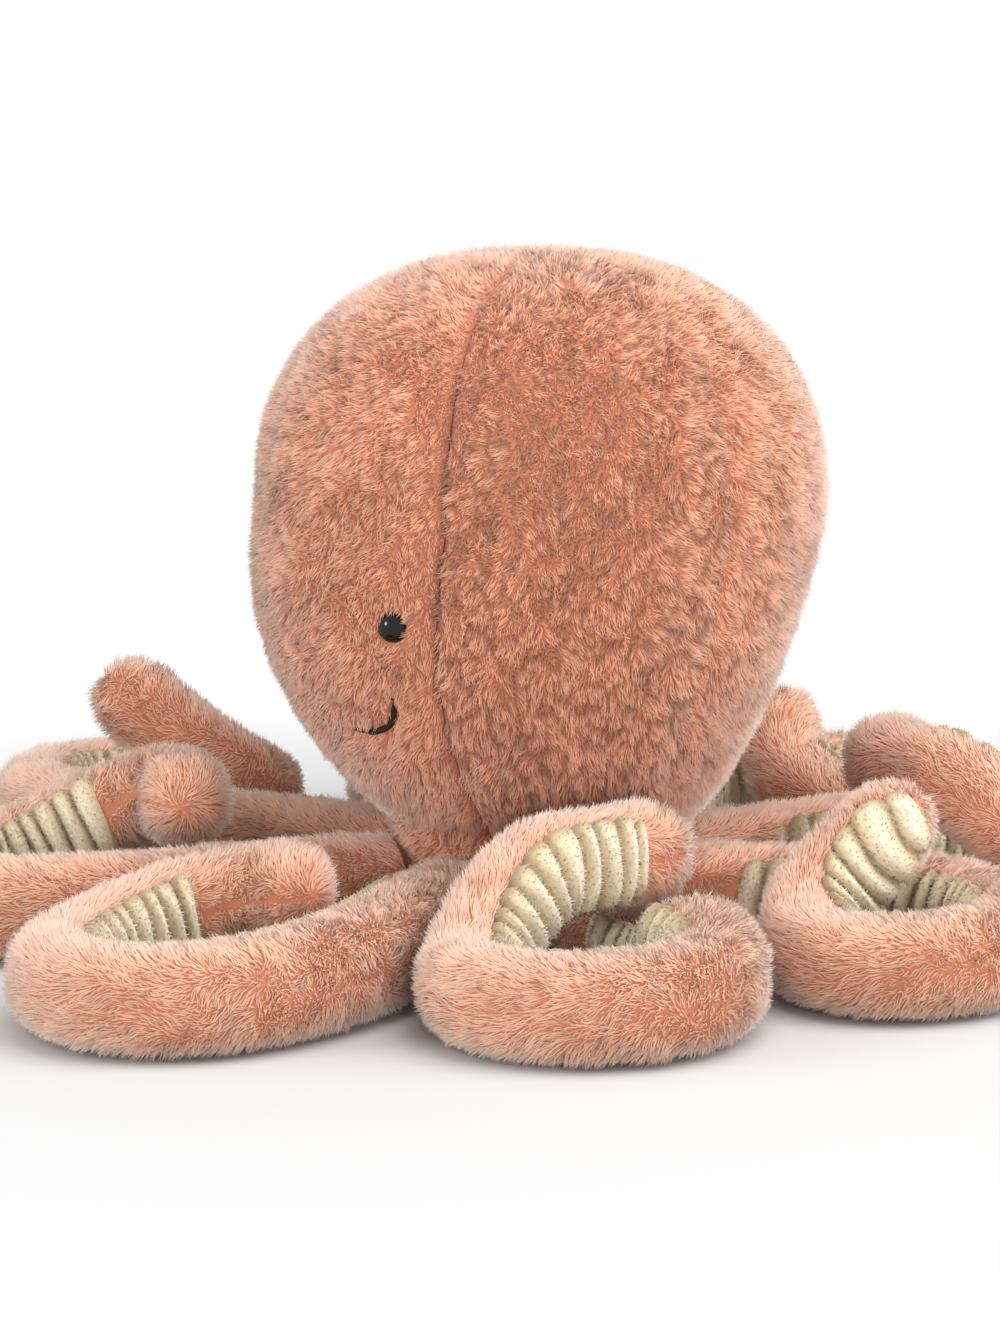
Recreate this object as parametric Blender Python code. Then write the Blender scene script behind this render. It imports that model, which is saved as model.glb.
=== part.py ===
# Plush octopus at rest on the floor: a stuffed head sewn from six panels, and eight arms that
# each curl clockwise into a loop. Every arm is fur plush outside with a strip of chunky ribbed
# cord fabric along the inside of its curl. It lifts at the seam under the head, and its curled
# end lifts again at the far side of the loop.
# Metres, +Z up. The origin is on the floor under the middle of the head, the face looks to -Y,
# and angles round the head count from the face towards +X.

import math

import bmesh
import bpy
import numpy as np
from mathutils import Vector
from mathutils.bvhtree import BVHTree

# Clearance between neighbouring pieces
GAP = 0.0003
# Depth of the flat that the soft forms take from lying on the floor
FLAT_CUT = 0.0005
# How far a cutting shape runs past the surface that it cuts
OVERRUN = 0.002

# Head: its outer skin, from the crown down to the foot that stands on the base
HEAD_TOP_HEIGHT = 0.286
HEAD_WIDEST_HEIGHT = 0.181
HEAD_RADIUS = 0.120
NECK_HEIGHT = 0.050
NECK_RADIUS = 0.066
FOOT_RADIUS = 0.060
CROWN_RADIUS = 0.003
CHIN_REACH = 0.008
PANEL_THICKNESS = 0.007
SEAM_SINK = 0.003
SEAM_ANGLES = (-30, 30, 90, 150, 210, 270)
PANEL_NAMES = ("face", "left_front", "left_rear", "back", "right_rear", "right_front")
PANEL_COLUMNS = 4
CROWN_STEPS = 5
CHEEK_STEPS = 5
# Roundness of the head above its widest ring, where 2 is an ellipse, and fullness of the cheeks
CROWN_CURVE_SHARE = 2.3
CHEEK_CURVE_SHARE = 0.82
# How sharply a panel turns down into its seams
SEAM_CURVE_SHARE = 5

# Base panel and the pouch of pellets that keeps the head upright
BASE_THICKNESS = 0.005
BASE_RADIUS = 0.058
BASE_EDGE = 0.006
POUCH_RADIUS = 0.044
POUCH_THICKNESS = 0.022
POUCH_TURNS = (-70, -35, 0, 35, 70)
TURNED_SIDES = 24

# Eyes: a domed bead on a shank, held by a washer behind the face panel
EYE_ANGLE = 20.7
EYE_HEIGHT = 0.1436
EYE_RADIUS = 0.0062
EYE_DOME = 0.0052
EYE_SINK = 0.003
SHANK_RADIUS = 0.0022
SHANK_TAIL = 0.002
WASHER_RADIUS = 0.008
WASHER_THICKNESS = 0.0016
WASHER_SETBACK = 0.0018
EYE_SIDES = 16
DOME_TURNS = (0, 25, 50, 75)

# Smile: one thread laid on the face panel in a wide U
SMILE_ANGLE = 18.8
SMILE_LOW = 0.0945
SMILE_DEPTH = 0.0180
SMILE_CURVE_SHARE = 2.7
THREAD_RADIUS = 0.001
THREAD_SEAT = 0.0005
SMILE_POINTS = 13

# Arms
ARM_COUNT = 8
FIRST_ARM_ANGLE = 22.5
LOOP_TURN = 12
ROOT_WIDTH = 0.049
ROOT_HEIGHT = 0.044
ARM_WIDTH = 0.043
ARM_HEIGHT = 0.047
TIP_WIDTH = 0.040
TIP_HEIGHT = 0.041
LOOP_HALF_WIDTH = 0.050
ARM_REACH = 0.305
TIP_RISE = 0.060
CORD_HEIGHT = 0.031
CORD_VALLEY = 0.0035
CORD_RIDGE = 0.0075
CORD_END = 0.040
CLOSING_LENGTH = 0.010
ROOT_STEPS = 17
CURL_STEPS = 11
CAP_STEPS = 3
ROUTE_SAMPLES = 600
SEAT_SAMPLES = 15
SMOOTH_SHARE = 0.035
CURVE_SAMPLES = 40
CAP_TURN = 80
# Arm by arm: reach as a share of the longest, loop width as a share of the widest, rise of the tip
# as a share of the highest, and where along the arm that rise starts and would be complete
REACH_SHARES = (0.95, 0.82, 0.81, 0.92, 0.90, 0.90, 1.00, 0.93)
WIDTH_SHARES = (0.98, 1.00, 0.95, 1.00, 0.98, 0.99, 1.00, 1.00)
RISE_SHARES = (0.33, 0.56, 1.60, 0.80, 1.30, 0.55, 1.75, 0.58)
RISE_START_SHARES = (0.68, 0.68, 0.78, 0.68, 0.78, 0.68, 0.76, 0.68)
RISE_END_SHARES = (1.00, 0.86, 1.18, 0.88, 1.18, 0.95, 1.18, 0.92)
# How far before each tip its cord strip ends, as a share of the usual length
CORD_END_SHARES = (1.55, 0.75, 0.12, 1.00, 0.90, 1.00, 0.75, 1.80)
# Where along its middle line an arm stops tapering from its root, and where its curl is hinged
TAPER_SHARE = 0.30
HINGE_SHARES = (0.66, 0.68, 0.72, 0.66, 0.68, 0.66, 0.66, 0.66)
CORD_START_STEPS = 2
# The arm's middle line seen from above: how far out, as a share of the way from the root's face
# to the far side of the loop, and how far to the side, as a share of the loop's half width
ROUTE_SHARES = (
    (0.100, 0.35),
    (0.225, 0.54),
    (0.355, 0.76),
    (0.515, 0.94),
    (0.710, 1.00),
    (0.885, 0.80),
    (0.985, 0.36),
    (1.000, -0.16),
    (0.940, -0.66),
    (0.810, -0.96),
)
# The end of that line where the tip lies in the loop, crosses over the root, or stands up
LYING_SHARES = ((0.665, -1.00), (0.530, -0.84), (0.450, -0.50), (0.425, -0.10), (0.440, 0.22))
CROSSING_SHARES = (
    (0.665, -0.93),
    (0.530, -0.70),
    (0.425, -0.38),
    (0.345, 0.05),
    (0.275, 0.50),
    (0.220, 0.92),
)
NEAR_STANDING_SHARES = (
    (0.698, -0.91),
    (0.597, -0.71),
    (0.550, -0.35),
    (0.590, 0.02),
    (0.650, 0.21),
    (0.715, 0.40),
)
FAR_STANDING_SHARES = (
    (0.690, -0.96),
    (0.590, -0.78),
    (0.550, -0.40),
    (0.590, 0.00),
    (0.660, 0.28),
    (0.760, 0.52),
)
TAIL_SHARES = (
    LYING_SHARES,
    CROSSING_SHARES,
    NEAR_STANDING_SHARES,
    LYING_SHARES,
    NEAR_STANDING_SHARES,
    LYING_SHARES,
    FAR_STANDING_SHARES,
    LYING_SHARES,
)
# How far each root is pressed down where a tip lies on it, and the middle of that dent
DENT_SHARES = (0, 0.32, 0, 0, 0, 0, 0, 0)
DENT_MIDDLE_SHARE = 0.11
# The arm's section: across towards the inside of the curl, and up, as shares of its half width
# and half height. The two corners without a share of the height are where the cord strip sits.
PLUSH_BOTTOM_SHARES = ((-0.40, -1.0), (0.34, -1.0))
PLUSH_BACK_SHARES = ((0.34, 1.0), (-0.40, 1.0), (-1.0, 0.44), (-1.0, -0.44))
# How far across the section the strip is seated, and how far the fur reaches past its end
SEAT_SHARE = 0.66
CLOSED_SEAT_SHARE = 0.94
RIDGE_HEIGHT_SHARE = 0.62

CORAL = (0.56, 0.235, 0.140)
CREAM = (0.72, 0.60, 0.41)
BLACK = (0.012, 0.009, 0.008)
DARK_BROWN = (0.030, 0.014, 0.010)
WHITE = (0.80, 0.80, 0.78)
MILKY = (0.60, 0.60, 0.58)


def clear_scene():
    for old in list(bpy.data.objects):
        bpy.data.objects.remove(old, do_unlink=True)


def make_material(name, colour, roughness):
    material = bpy.data.materials.new(name)
    material.use_nodes = True
    shader = material.node_tree.nodes["Principled BSDF"]
    shader.inputs["Base Color"].default_value = (*colour, 1)
    shader.inputs["Roughness"].default_value = roughness
    shader.inputs["Metallic"].default_value = 0
    return material


def add_empty(name, location):
    empty = bpy.data.objects.new(name, None)
    empty.location = location
    bpy.context.collection.objects.link(empty)
    return empty


def add_piece(name, points, faces, material, parent):
    """Link a closed mesh under its parent empty, with the piece's origin on that empty."""
    origin = parent.location.copy()
    mesh = bpy.data.meshes.new(name)
    shape = bmesh.new()
    corners = [shape.verts.new(Vector(point) - origin) for point in points]
    for face in faces:
        shape.faces.new([corners[index] for index in face])
    bmesh.ops.recalc_face_normals(shape, faces=shape.faces)
    shape.to_mesh(mesh)
    shape.free()
    mesh.materials.append(material)
    mesh.shade_smooth()
    mesh.set_sharp_from_angle(angle=math.radians(50))
    piece = bpy.data.objects.new(name, mesh)
    piece.parent = parent
    bpy.context.collection.objects.link(piece)
    return piece


def grid_faces(rows, columns, closed, first=0):
    """Triangles between rows of points, each row as long as columns, joined round if closed."""
    faces = []
    spans = columns if closed else columns - 1
    for row in range(rows - 1):
        for column in range(spans):
            beside = (column + 1) % columns
            a = first + row * columns + column
            b = first + row * columns + beside
            c = a + columns
            d = b + columns
            faces.append((a, b, d))
            faces.append((a, d, c))
    return faces


def around(angle):
    """Unit vector level with the floor, at an angle round the head from the face."""
    turn = math.radians(angle)
    return Vector((math.sin(turn), -math.cos(turn), 0))


def head_profile():
    """Stations down the head's outer skin: radius, height and outward direction of each."""
    rise = HEAD_TOP_HEIGHT - HEAD_WIDEST_HEIGHT
    drop = HEAD_WIDEST_HEIGHT - NECK_HEIGHT
    power = 2 / CROWN_CURVE_SHARE
    last = math.acos((CROWN_RADIUS / HEAD_RADIUS) ** (1 / power))
    line = []
    for step in range(CROWN_STEPS):
        turn = last * (1 - step / CROWN_STEPS)
        radius = HEAD_RADIUS * math.cos(turn) ** power
        line.append((radius, HEAD_WIDEST_HEIGHT + rise * math.sin(turn) ** power))
    for step in range(CHEEK_STEPS + 1):
        down = math.sin(math.pi / 2 * step / CHEEK_STEPS)
        full = (1 - down * down) ** CHEEK_CURVE_SHARE
        radius = NECK_RADIUS + (HEAD_RADIUS - NECK_RADIUS) * full
        line.append((radius, HEAD_WIDEST_HEIGHT - drop * down))
    line.append((FOOT_RADIUS, BASE_THICKNESS + GAP))
    line = np.array(line)
    slope = np.gradient(line, axis=0)
    out = np.stack([-slope[:, 1], slope[:, 0]], axis=1)
    out /= np.linalg.norm(out, axis=1)[:, None]
    out[-1] = (1, 0)
    return line, out


def chin_shift(height):
    """How far the lower head leans out over the face, none at the widest ring or at the neck."""
    down = (HEAD_WIDEST_HEIGHT - height) / (HEAD_WIDEST_HEIGHT - NECK_HEIGHT)
    return CHIN_REACH * math.sin(math.pi * min(max(down, 0), 1))


def column_angles():
    """The angle of every column of the head's skin, panel by panel, with its share of a seam."""
    columns = []
    for number, start in enumerate(SEAM_ANGLES):
        end = (SEAM_ANGLES + (SEAM_ANGLES[0] + 360,))[number + 1]
        for step in range(PANEL_COLUMNS):
            across = step / PANEL_COLUMNS
            seam = abs(2 * across - 1) ** SEAM_CURVE_SHARE
            columns.append((start + (end - start) * across, seam))
    return columns


def head_point(station, column, depth, aside=0):
    """A point of the head, depth under its outer skin, moved aside along the floor's plane."""
    line, out = PROFILE
    angle, seam = column
    radius, height = line[station] - depth * out[station]
    radius -= SEAM_SINK * seam * line[station][0] / HEAD_RADIUS
    outward = around(angle)
    centre = Vector((0, -chin_shift(line[station][1]), height))
    return centre + outward * radius + around(angle + 90) * aside


def make_panel(number, material, parent):
    """One sewn panel of the head: a shell between two seams, from the crown to the foot."""
    columns = column_angles()
    columns.append((columns[0][0] + 360, columns[0][1]))
    first = number * PANEL_COLUMNS
    chosen = columns[first : first + PANEL_COLUMNS + 1]
    stations = len(PROFILE[0])
    points = []
    for depth in (0, PANEL_THICKNESS):
        for station in range(stations):
            for place, column in enumerate(chosen):
                aside = 0
                if place == 0:
                    aside = GAP / 2
                if place == PANEL_COLUMNS:
                    aside = -GAP / 2
                points.append(head_point(station, column, depth, aside))
    width = PANEL_COLUMNS + 1
    inner = stations * width
    faces = grid_faces(stations, width, False)
    faces += grid_faces(stations, width, False, inner)
    for edge in (0, PANEL_COLUMNS):
        for station in range(stations - 1):
            a = station * width + edge
            faces.append((a, a + width, a + width + inner))
            faces.append((a, a + width + inner, a + inner))
    for row in (0, stations - 1):
        for column in range(PANEL_COLUMNS):
            a = row * width + column
            faces.append((a, a + 1, a + 1 + inner))
            faces.append((a, a + 1 + inner, a + inner))
    return add_piece("panel_" + PANEL_NAMES[number], points, faces, material, parent)


def make_filling(material, parent):
    """The head's fibre filling, with a pocket under it for the pouch of pellets."""
    columns = column_angles()
    stations = len(PROFILE[0])
    count = len(columns)
    points = []
    for station in range(stations):
        for column in columns:
            points.append(head_point(station, column, PANEL_THICKNESS + GAP))
    floor = BASE_THICKNESS + GAP
    ceiling = floor + GAP + POUCH_THICKNESS + GAP
    for height in (floor, ceiling):
        for angle, _ in columns:
            points.append(around(angle) * (POUCH_RADIUS + GAP) + Vector((0, 0, height)))
    faces = grid_faces(stations + 2, count, True)
    faces.append(tuple(range(count)))
    faces.append(tuple(range((stations + 1) * count, (stations + 2) * count)))
    return add_piece("head_filling", points, faces, material, parent)


def turned(outline, sides):
    """Points and faces of a closed turned shape about Z, from an outline of radius and height."""
    points = []
    for radius, height in outline:
        for side in range(sides):
            points.append(around(360 * side / sides) * radius + Vector((0, 0, height)))
    faces = grid_faces(len(outline), sides, True)
    faces.append(tuple(range(sides)))
    faces.append(tuple(range((len(outline) - 1) * sides, len(outline) * sides)))
    return points, faces


def make_base(material, parent):
    outline = (
        (BASE_RADIUS - BASE_EDGE, 0),
        (BASE_RADIUS, BASE_THICKNESS / 2),
        (BASE_RADIUS, BASE_THICKNESS),
    )
    points, faces = turned(outline, TURNED_SIDES)
    return add_piece("base_panel", points, faces, material, parent)


def make_pouch(material, parent):
    floor = BASE_THICKNESS + GAP
    half = POUCH_THICKNESS / 2
    outline = []
    last = math.sin(math.radians(POUCH_TURNS[-1]))
    for turn in POUCH_TURNS:
        swell = math.sqrt(math.cos(math.radians(turn)))
        lift = math.sin(math.radians(turn)) / last
        outline.append((POUCH_RADIUS * swell, floor + half + half * lift))
    points, faces = turned(outline, TURNED_SIDES)
    return add_piece("pellet_pouch", points, faces, material, parent)


def skin_tree(panel):
    """A panel's faces in a form that lines can be cast on."""
    points = [panel.parent.location + vertex.co for vertex in panel.data.vertices]
    return BVHTree.FromPolygons(points, [tuple(face.vertices) for face in panel.data.polygons])


def surface_hit(panel, angle, height):
    """Where a level line from outside meets the face panel, and the panel's direction there."""
    centre = Vector((0, -chin_shift(height), height))
    outside = centre + around(angle) * HEAD_RADIUS * 2
    place, normal, _, _ = skin_tree(panel).ray_cast(outside, -around(angle))
    if normal.dot(around(angle)) < 0:
        normal = -normal
    return place, normal


def standing_on(points, place, normal):
    """Turn a shape made about +Z so that +Z is the surface's direction, and move it there."""
    turn = normal.to_track_quat("Z", "Y")
    return [place + turn @ Vector(point) for point in points]


def add_cut(target, name, outline, place, normal):
    """Cut a round hole along the surface's direction with a turned cutter."""
    points, faces = turned(outline, EYE_SIDES)
    cutter = add_piece(
        name, standing_on(points, place, normal), faces, target.data.materials[0], target.parent
    )
    cutter.hide_render = True
    cutter.display_type = "WIRE"
    cut = target.modifiers.new(name, "BOOLEAN")
    cut.operation = "DIFFERENCE"
    cut.object = cutter


def make_eye(side, face_panel, filling, bead, nylon, parent):
    """A bead eye with its washer, and the hole and pocket that they sit in."""
    angle = EYE_ANGLE if side == "left" else -EYE_ANGLE
    place, normal = surface_hit(face_panel, angle, EYE_HEIGHT)
    back = PANEL_THICKNESS + GAP + WASHER_SETBACK
    shank_end = -(back + WASHER_THICKNESS + SHANK_TAIL)
    seat = GAP - EYE_SINK
    outline = [(SHANK_RADIUS, shank_end), (SHANK_RADIUS, seat)]
    for turn in DOME_TURNS:
        radius = EYE_RADIUS * math.cos(math.radians(turn))
        outline.append((radius, seat + EYE_DOME * math.sin(math.radians(turn))))
    points, faces = turned(outline, EYE_SIDES)
    add_piece("eye_" + side, standing_on(points, place, normal), faces, bead, parent)

    hole = SHANK_RADIUS + GAP
    rim = (
        (hole, -back),
        (hole, -back - WASHER_THICKNESS),
        (WASHER_RADIUS, -back - WASHER_THICKNESS),
        (WASHER_RADIUS, -back),
    )
    points, _ = turned(rim, EYE_SIDES)
    faces = grid_faces(len(rim), EYE_SIDES, True)
    last = (len(rim) - 1) * EYE_SIDES
    for side_number in range(EYE_SIDES):
        beside = (side_number + 1) % EYE_SIDES
        faces.append((last + side_number, last + beside, beside, side_number))
    add_piece("eye_washer_" + side, standing_on(points, place, normal), faces, nylon, parent)

    recess = EYE_RADIUS + GAP
    stepped_hole = (
        (hole, -PANEL_THICKNESS - OVERRUN),
        (hole, -EYE_SINK),
        (recess, -EYE_SINK),
        (recess, OVERRUN),
    )
    add_cut(face_panel, "eye_hole_" + side, stepped_hole, place, normal)
    room = WASHER_RADIUS + GAP
    pocket = ((room, shank_end - GAP), (room, OVERRUN))
    add_cut(filling, "washer_pocket_" + side, pocket, place, normal)


def make_smile(face_panel, material, parent):
    """The smile's thread, laid along the face panel from one cheek to the other."""
    curve = bpy.data.curves.new("smile_thread", "CURVE")
    curve.dimensions = "3D"
    curve.bevel_depth = THREAD_RADIUS
    curve.bevel_resolution = 1
    curve.use_fill_caps = True
    line = curve.splines.new("POLY")
    line.points.add(SMILE_POINTS - 1)
    for step in range(SMILE_POINTS):
        turn = math.pi * (step / (SMILE_POINTS - 1) - 1 / 2)
        power = 2 / SMILE_CURVE_SHARE
        across = math.copysign(abs(math.sin(turn)) ** power, turn)
        height = SMILE_LOW + SMILE_DEPTH * (1 - abs(math.cos(turn)) ** power)
        place, normal = surface_hit(face_panel, SMILE_ANGLE * across, height)
        seat = place + normal * (THREAD_RADIUS + THREAD_SEAT)
        line.points[step].co = (*(seat - parent.location), 1)
    curve.materials.append(material)
    thread = bpy.data.objects.new("smile_thread", curve)
    thread.parent = parent
    bpy.context.collection.objects.link(thread)


def smooth_line(controls, samples):
    """Evenly spaced points on a smooth curve through the control points."""
    controls = np.vstack([2 * controls[0] - controls[1], controls, 2 * controls[-1] - controls[-2]])
    dense = []
    for piece in range(len(controls) - 3):
        a, b, c, d = controls[piece : piece + 4]
        for t in np.linspace(0, 1, CURVE_SAMPLES, endpoint=False):
            dense.append(
                0.5 * (2 * b + (c - a) * t + (2 * a - 5 * b + 4 * c - d) * t * t
                       + (3 * b - a - 3 * c + d) * t * t * t)
            )
    dense.append(controls[-2])
    dense = np.array(dense)
    steps = np.linalg.norm(np.diff(dense, axis=0), axis=1)
    travelled = np.concatenate([[0], np.cumsum(steps)])
    even = np.linspace(0, travelled[-1], samples)
    line = np.stack([np.interp(even, travelled, dense[:, axis]) for axis in range(2)], axis=1)
    return evened(line, int(samples * SMOOTH_SHARE))


def evened(line, reach):
    """The line with its bends evened out, each point the mean of those within reach of it."""
    before = 2 * line[0] - line[reach:0:-1]
    after = 2 * line[-1] - line[-2 : -reach - 2 : -1]
    sums = np.cumsum(np.vstack([np.zeros(2), before, line, after]), axis=0)
    width = 2 * reach + 1
    return (sums[width:] - sums[:-width]) / width


def seat_radius(trees, angle):
    """How far out the end of an arm stands, clear of the head's skin all over the end's face."""
    outward = around(angle)
    reach = 0
    for tree in trees:
        for across in np.linspace(-1, 1, SEAT_SAMPLES):
            for up in np.linspace(0, 1, SEAT_SAMPLES):
                start = outward * HEAD_RADIUS * 2 + around(angle + 90) * across * ROOT_WIDTH / 2
                start.z = up * ROOT_HEIGHT
                place, _, _, _ = tree.ray_cast(start, -outward)
                if place is not None:
                    reach = max(reach, place.dot(outward))
    return reach + GAP


def ease(share):
    share = min(max(share, 0), 1)
    return share * share * (3 - 2 * share)


class Arm:
    """One arm's middle line, with its width, height and directions at every share of its length."""

    def __init__(self, number, trees):
        self.name = "arm_" + str(number + 1)
        self.root_angle = FIRST_ARM_ANGLE + 360 / ARM_COUNT * number
        self.angle = self.root_angle - LOOP_TURN
        self.rise = TIP_RISE * RISE_SHARES[number]
        self.rise_start = RISE_START_SHARES[number]
        self.rise_end = RISE_END_SHARES[number]
        self.dent = DENT_SHARES[number]
        self.hinge = HINGE_SHARES[number]
        reach = ARM_REACH * REACH_SHARES[number] - ARM_WIDTH / 2
        start = seat_radius(trees, self.root_angle)
        turn = math.radians(LOOP_TURN)
        across = LOOP_HALF_WIDTH * WIDTH_SHARES[number]
        controls = [(start * math.cos(turn), start * math.sin(turn))]
        for out_share, side_share in ROUTE_SHARES + TAIL_SHARES[number]:
            controls.append((start + (reach - start) * out_share, across * side_share))
        first = start + (reach - start) * ROUTE_SHARES[0][0]
        controls[1] = (first * math.cos(turn), first * math.sin(turn))
        self.line = smooth_line(np.array(controls), ROUTE_SAMPLES)
        steps = np.linalg.norm(np.diff(self.line, axis=0), axis=1)
        self.length = steps.sum()
        self.cord_end = CORD_END * CORD_END_SHARES[number]

    def half_width(self, share):
        thick = ROOT_WIDTH + (ARM_WIDTH - ROOT_WIDTH) * ease(share / TAPER_SHARE)
        return (thick + (TIP_WIDTH - ARM_WIDTH) * ease(share)) / 2

    def half_height(self, share):
        thick = ROOT_HEIGHT + (ARM_HEIGHT - ROOT_HEIGHT) * ease(share / TAPER_SHARE)
        pressed = self.dent * ease(2 - abs(2 * share / DENT_MIDDLE_SHARE - 2))
        return (thick + (TIP_HEIGHT - ARM_HEIGHT) * ease(share)) / 2 * (1 - pressed)

    def seat_share(self, share):
        """How far across the seat lies: out to the full round form where the strip has ended."""
        past = (share - 1) * self.length + self.cord_end
        return SEAT_SHARE + (CLOSED_SEAT_SHARE - SEAT_SHARE) * ease(past / CLOSING_LENGTH)

    def middle(self, share):
        """The middle line's point at a share of its length, off the floor by half the height."""
        place = share * (ROUTE_SAMPLES - 1)
        low = min(int(place), ROUTE_SAMPLES - 2)
        out, side = self.line[low] + (self.line[low + 1] - self.line[low]) * (place - low)
        lift = self.rise * ease((share - self.rise_start) / (self.rise_end - self.rise_start))
        height = self.half_height(share) - FLAT_CUT + lift
        return around(self.angle) * out + around(self.angle + 90) * side + Vector((0, 0, height))

    def frame(self, share):
        """Point, direction along, direction to the inside of the curl, and direction up."""
        near = 1 / ROUTE_SAMPLES
        back = self.middle(max(share - near, 0))
        along = (self.middle(min(share + near, 1)) - back).normalized()
        inside = along.cross(Vector((0, 0, 1))).normalized()
        return self.middle(share), along, inside, inside.cross(along)

    def place(self, share, aside, up, shift=0):
        """A point of the arm's section, lying no lower than the floor."""
        middle, along, inside, upward = self.frame(share)
        point = middle + inside * aside + upward * up + along * shift
        point.z = max(point.z, 0)
        return point

    def plush_ring(self, share, swell=1, shift=0):
        """The plush's section, its last two corners where the cord strip's edges are sewn."""
        width = self.half_width(share) * swell
        height = self.half_height(share) * swell
        corners = [(width * a, height * b) for a, b in PLUSH_BOTTOM_SHARES]
        seat = width * self.seat_share(share)
        edge = CORD_HEIGHT / 2 * swell + GAP
        corners += [(seat, -edge), (seat, edge)]
        corners += [(width * a, height * b) for a, b in PLUSH_BACK_SHARES]
        return [self.place(share, aside, up, shift) for aside, up in corners]


def arm_shares(arm):
    """Where the rings of an arm's two lengths lie, as shares of the arm, and the cap's swell."""
    root = [arm.hinge * step / ROOT_STEPS for step in range(ROOT_STEPS + 1)]
    cap = TIP_WIDTH / 2 / arm.length
    body = 1 - cap
    curl = [arm.hinge + (body - arm.hinge) * step / CURL_STEPS for step in range(CURL_STEPS + 1)]
    swells = [1] * len(curl)
    for step in range(CAP_STEPS):
        turn = math.radians(CAP_TURN) * (step + 1) / CAP_STEPS
        curl.append(body + cap * math.sin(turn))
        swells.append(math.cos(turn))
    return root, curl, swells


def tube_faces(rings, corners):
    faces = grid_faces(rings, corners, True)
    faces.append(tuple(range(corners)))
    faces.append(tuple(range((rings - 1) * corners, rings * corners)))
    return faces


def make_plush(arm, name, shares, swells, material, parent):
    """One length of an arm's stuffed fur plush, closed at both ends."""
    points = []
    for number, share in enumerate(shares):
        shift = 0
        if number == 0 and share > 0:
            shift = GAP / 2
        if number == len(shares) - 1 and share <= arm.hinge:
            shift = -GAP / 2
        points += arm.plush_ring(share, swells[number], shift)
    corners = len(PLUSH_BOTTOM_SHARES) + len(PLUSH_BACK_SHARES) + 2
    add_piece(name, points, tube_faces(len(shares), corners), material, parent)


def make_cord(arm, name, shares, material, parent):
    """One length of the ribbed cord strip: a valley over each ring of the plush, a ridge between."""
    first_edge = len(PLUSH_BOTTOM_SHARES)
    rows = []
    for number, share in enumerate(shares):
        shift = 0
        if number == 0 and share >= arm.hinge:
            shift = GAP
        if share == arm.hinge and number > 0:
            shift = -GAP
        ring = arm.plush_ring(share, 1, shift)
        _, _, inside, _ = arm.frame(share)
        rows.append((ring[first_edge], ring[first_edge + 1], inside))
    points = []
    for number, (low, high, inside) in enumerate(rows):
        points += cord_ring(low, high, inside, CORD_VALLEY)
        if number + 1 < len(rows):
            next_low, next_high, next_inside = rows[number + 1]
            middle = (inside + next_inside).normalized()
            points += cord_ring((low + next_low) / 2, (high + next_high) / 2, middle, CORD_RIDGE)
    add_piece(name, points, tube_faces(len(points) // 4, 4), material, parent)


def cord_ring(low, high, inside, thickness):
    """Four corners of the strip's section, standing on the seat between its two sewn edges."""
    middle = (low + high) / 2
    spread = (high - low) / 2
    inset = spread - spread.normalized() * GAP
    ridge = spread * RIDGE_HEIGHT_SHARE
    seat = middle + inside * GAP
    top = seat + inside * thickness
    return [seat - inset, seat + inset, top + ridge, top - ridge]


def make_arm(number, trees, plush, cord):
    arm = Arm(number, trees)
    root_shares, curl_shares, swells = arm_shares(arm)
    root_hinge = arm.middle(0) + Vector((0, 0, arm.half_height(0)))
    curl_hinge = arm.middle(arm.hinge) + Vector((0, 0, arm.half_height(arm.hinge)))
    root = add_empty(arm.name + "_root_hinge", root_hinge)
    curl = add_empty(arm.name + "_curl_hinge", curl_hinge)
    make_plush(arm, arm.name + "_root_plush", root_shares, [1] * len(root_shares), plush, root)
    make_plush(arm, arm.name + "_curl_plush", curl_shares, swells, plush, curl)
    make_cord(arm, arm.name + "_root_cord", root_shares[CORD_START_STEPS:], cord, root)
    full = [share for share in curl_shares[: CURL_STEPS + 1] if share < 1 - arm.cord_end / arm.length]
    make_cord(arm, arm.name + "_curl_cord", full, cord, curl)


def make_head():
    centre = add_empty("head_centre", (0, 0, 0))
    plush = make_material("coral_plush_head", CORAL, 0.95)
    panels = [make_panel(number, plush, centre) for number in range(len(SEAM_ANGLES))]
    filling = make_filling(make_material("fibre_filling", WHITE, 0.95), centre)
    make_base(make_material("coral_plush_base", CORAL, 0.95), centre)
    make_pouch(make_material("pouch_cloth", MILKY, 0.9), centre)
    bead = make_material("black_bead", BLACK, 0.15)
    nylon = make_material("white_nylon", MILKY, 0.5)
    make_smile(panels[0], make_material("smile_thread", DARK_BROWN, 0.7), centre)
    for side in ("left", "right"):
        make_eye(side, panels[0], filling, bead, nylon, centre)
    return panels


def make_arms(panels):
    trees = [skin_tree(panel) for panel in panels]
    plush = make_material("coral_plush_arms", CORAL, 0.95)
    cord = make_material("cream_cord", CREAM, 0.9)
    for number in range(ARM_COUNT):
        make_arm(number, trees, plush, cord)


PROFILE = head_profile()
clear_scene()
make_arms(make_head())
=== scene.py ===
# %% [markdown]
# # A plush octopus
#
# The toy is a soft head sewn from six panels of short fur plush, with eight arms that curl
# clockwise into loops. The inside of every curl is a strip of cream cord cloth with chunky ribs.
# This file dresses a finished set of solids with fur, ribs, eyes and a smile. It first loads those
# solids, because each piece made here sits on one of them; the head's pieces and the curls' pieces
# ride with theirs, and the other lengths of the arms are fixed where they lie.

# %% Load the solids
import math

import bpy
import numpy as np
from mathutils import Matrix, Vector


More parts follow.
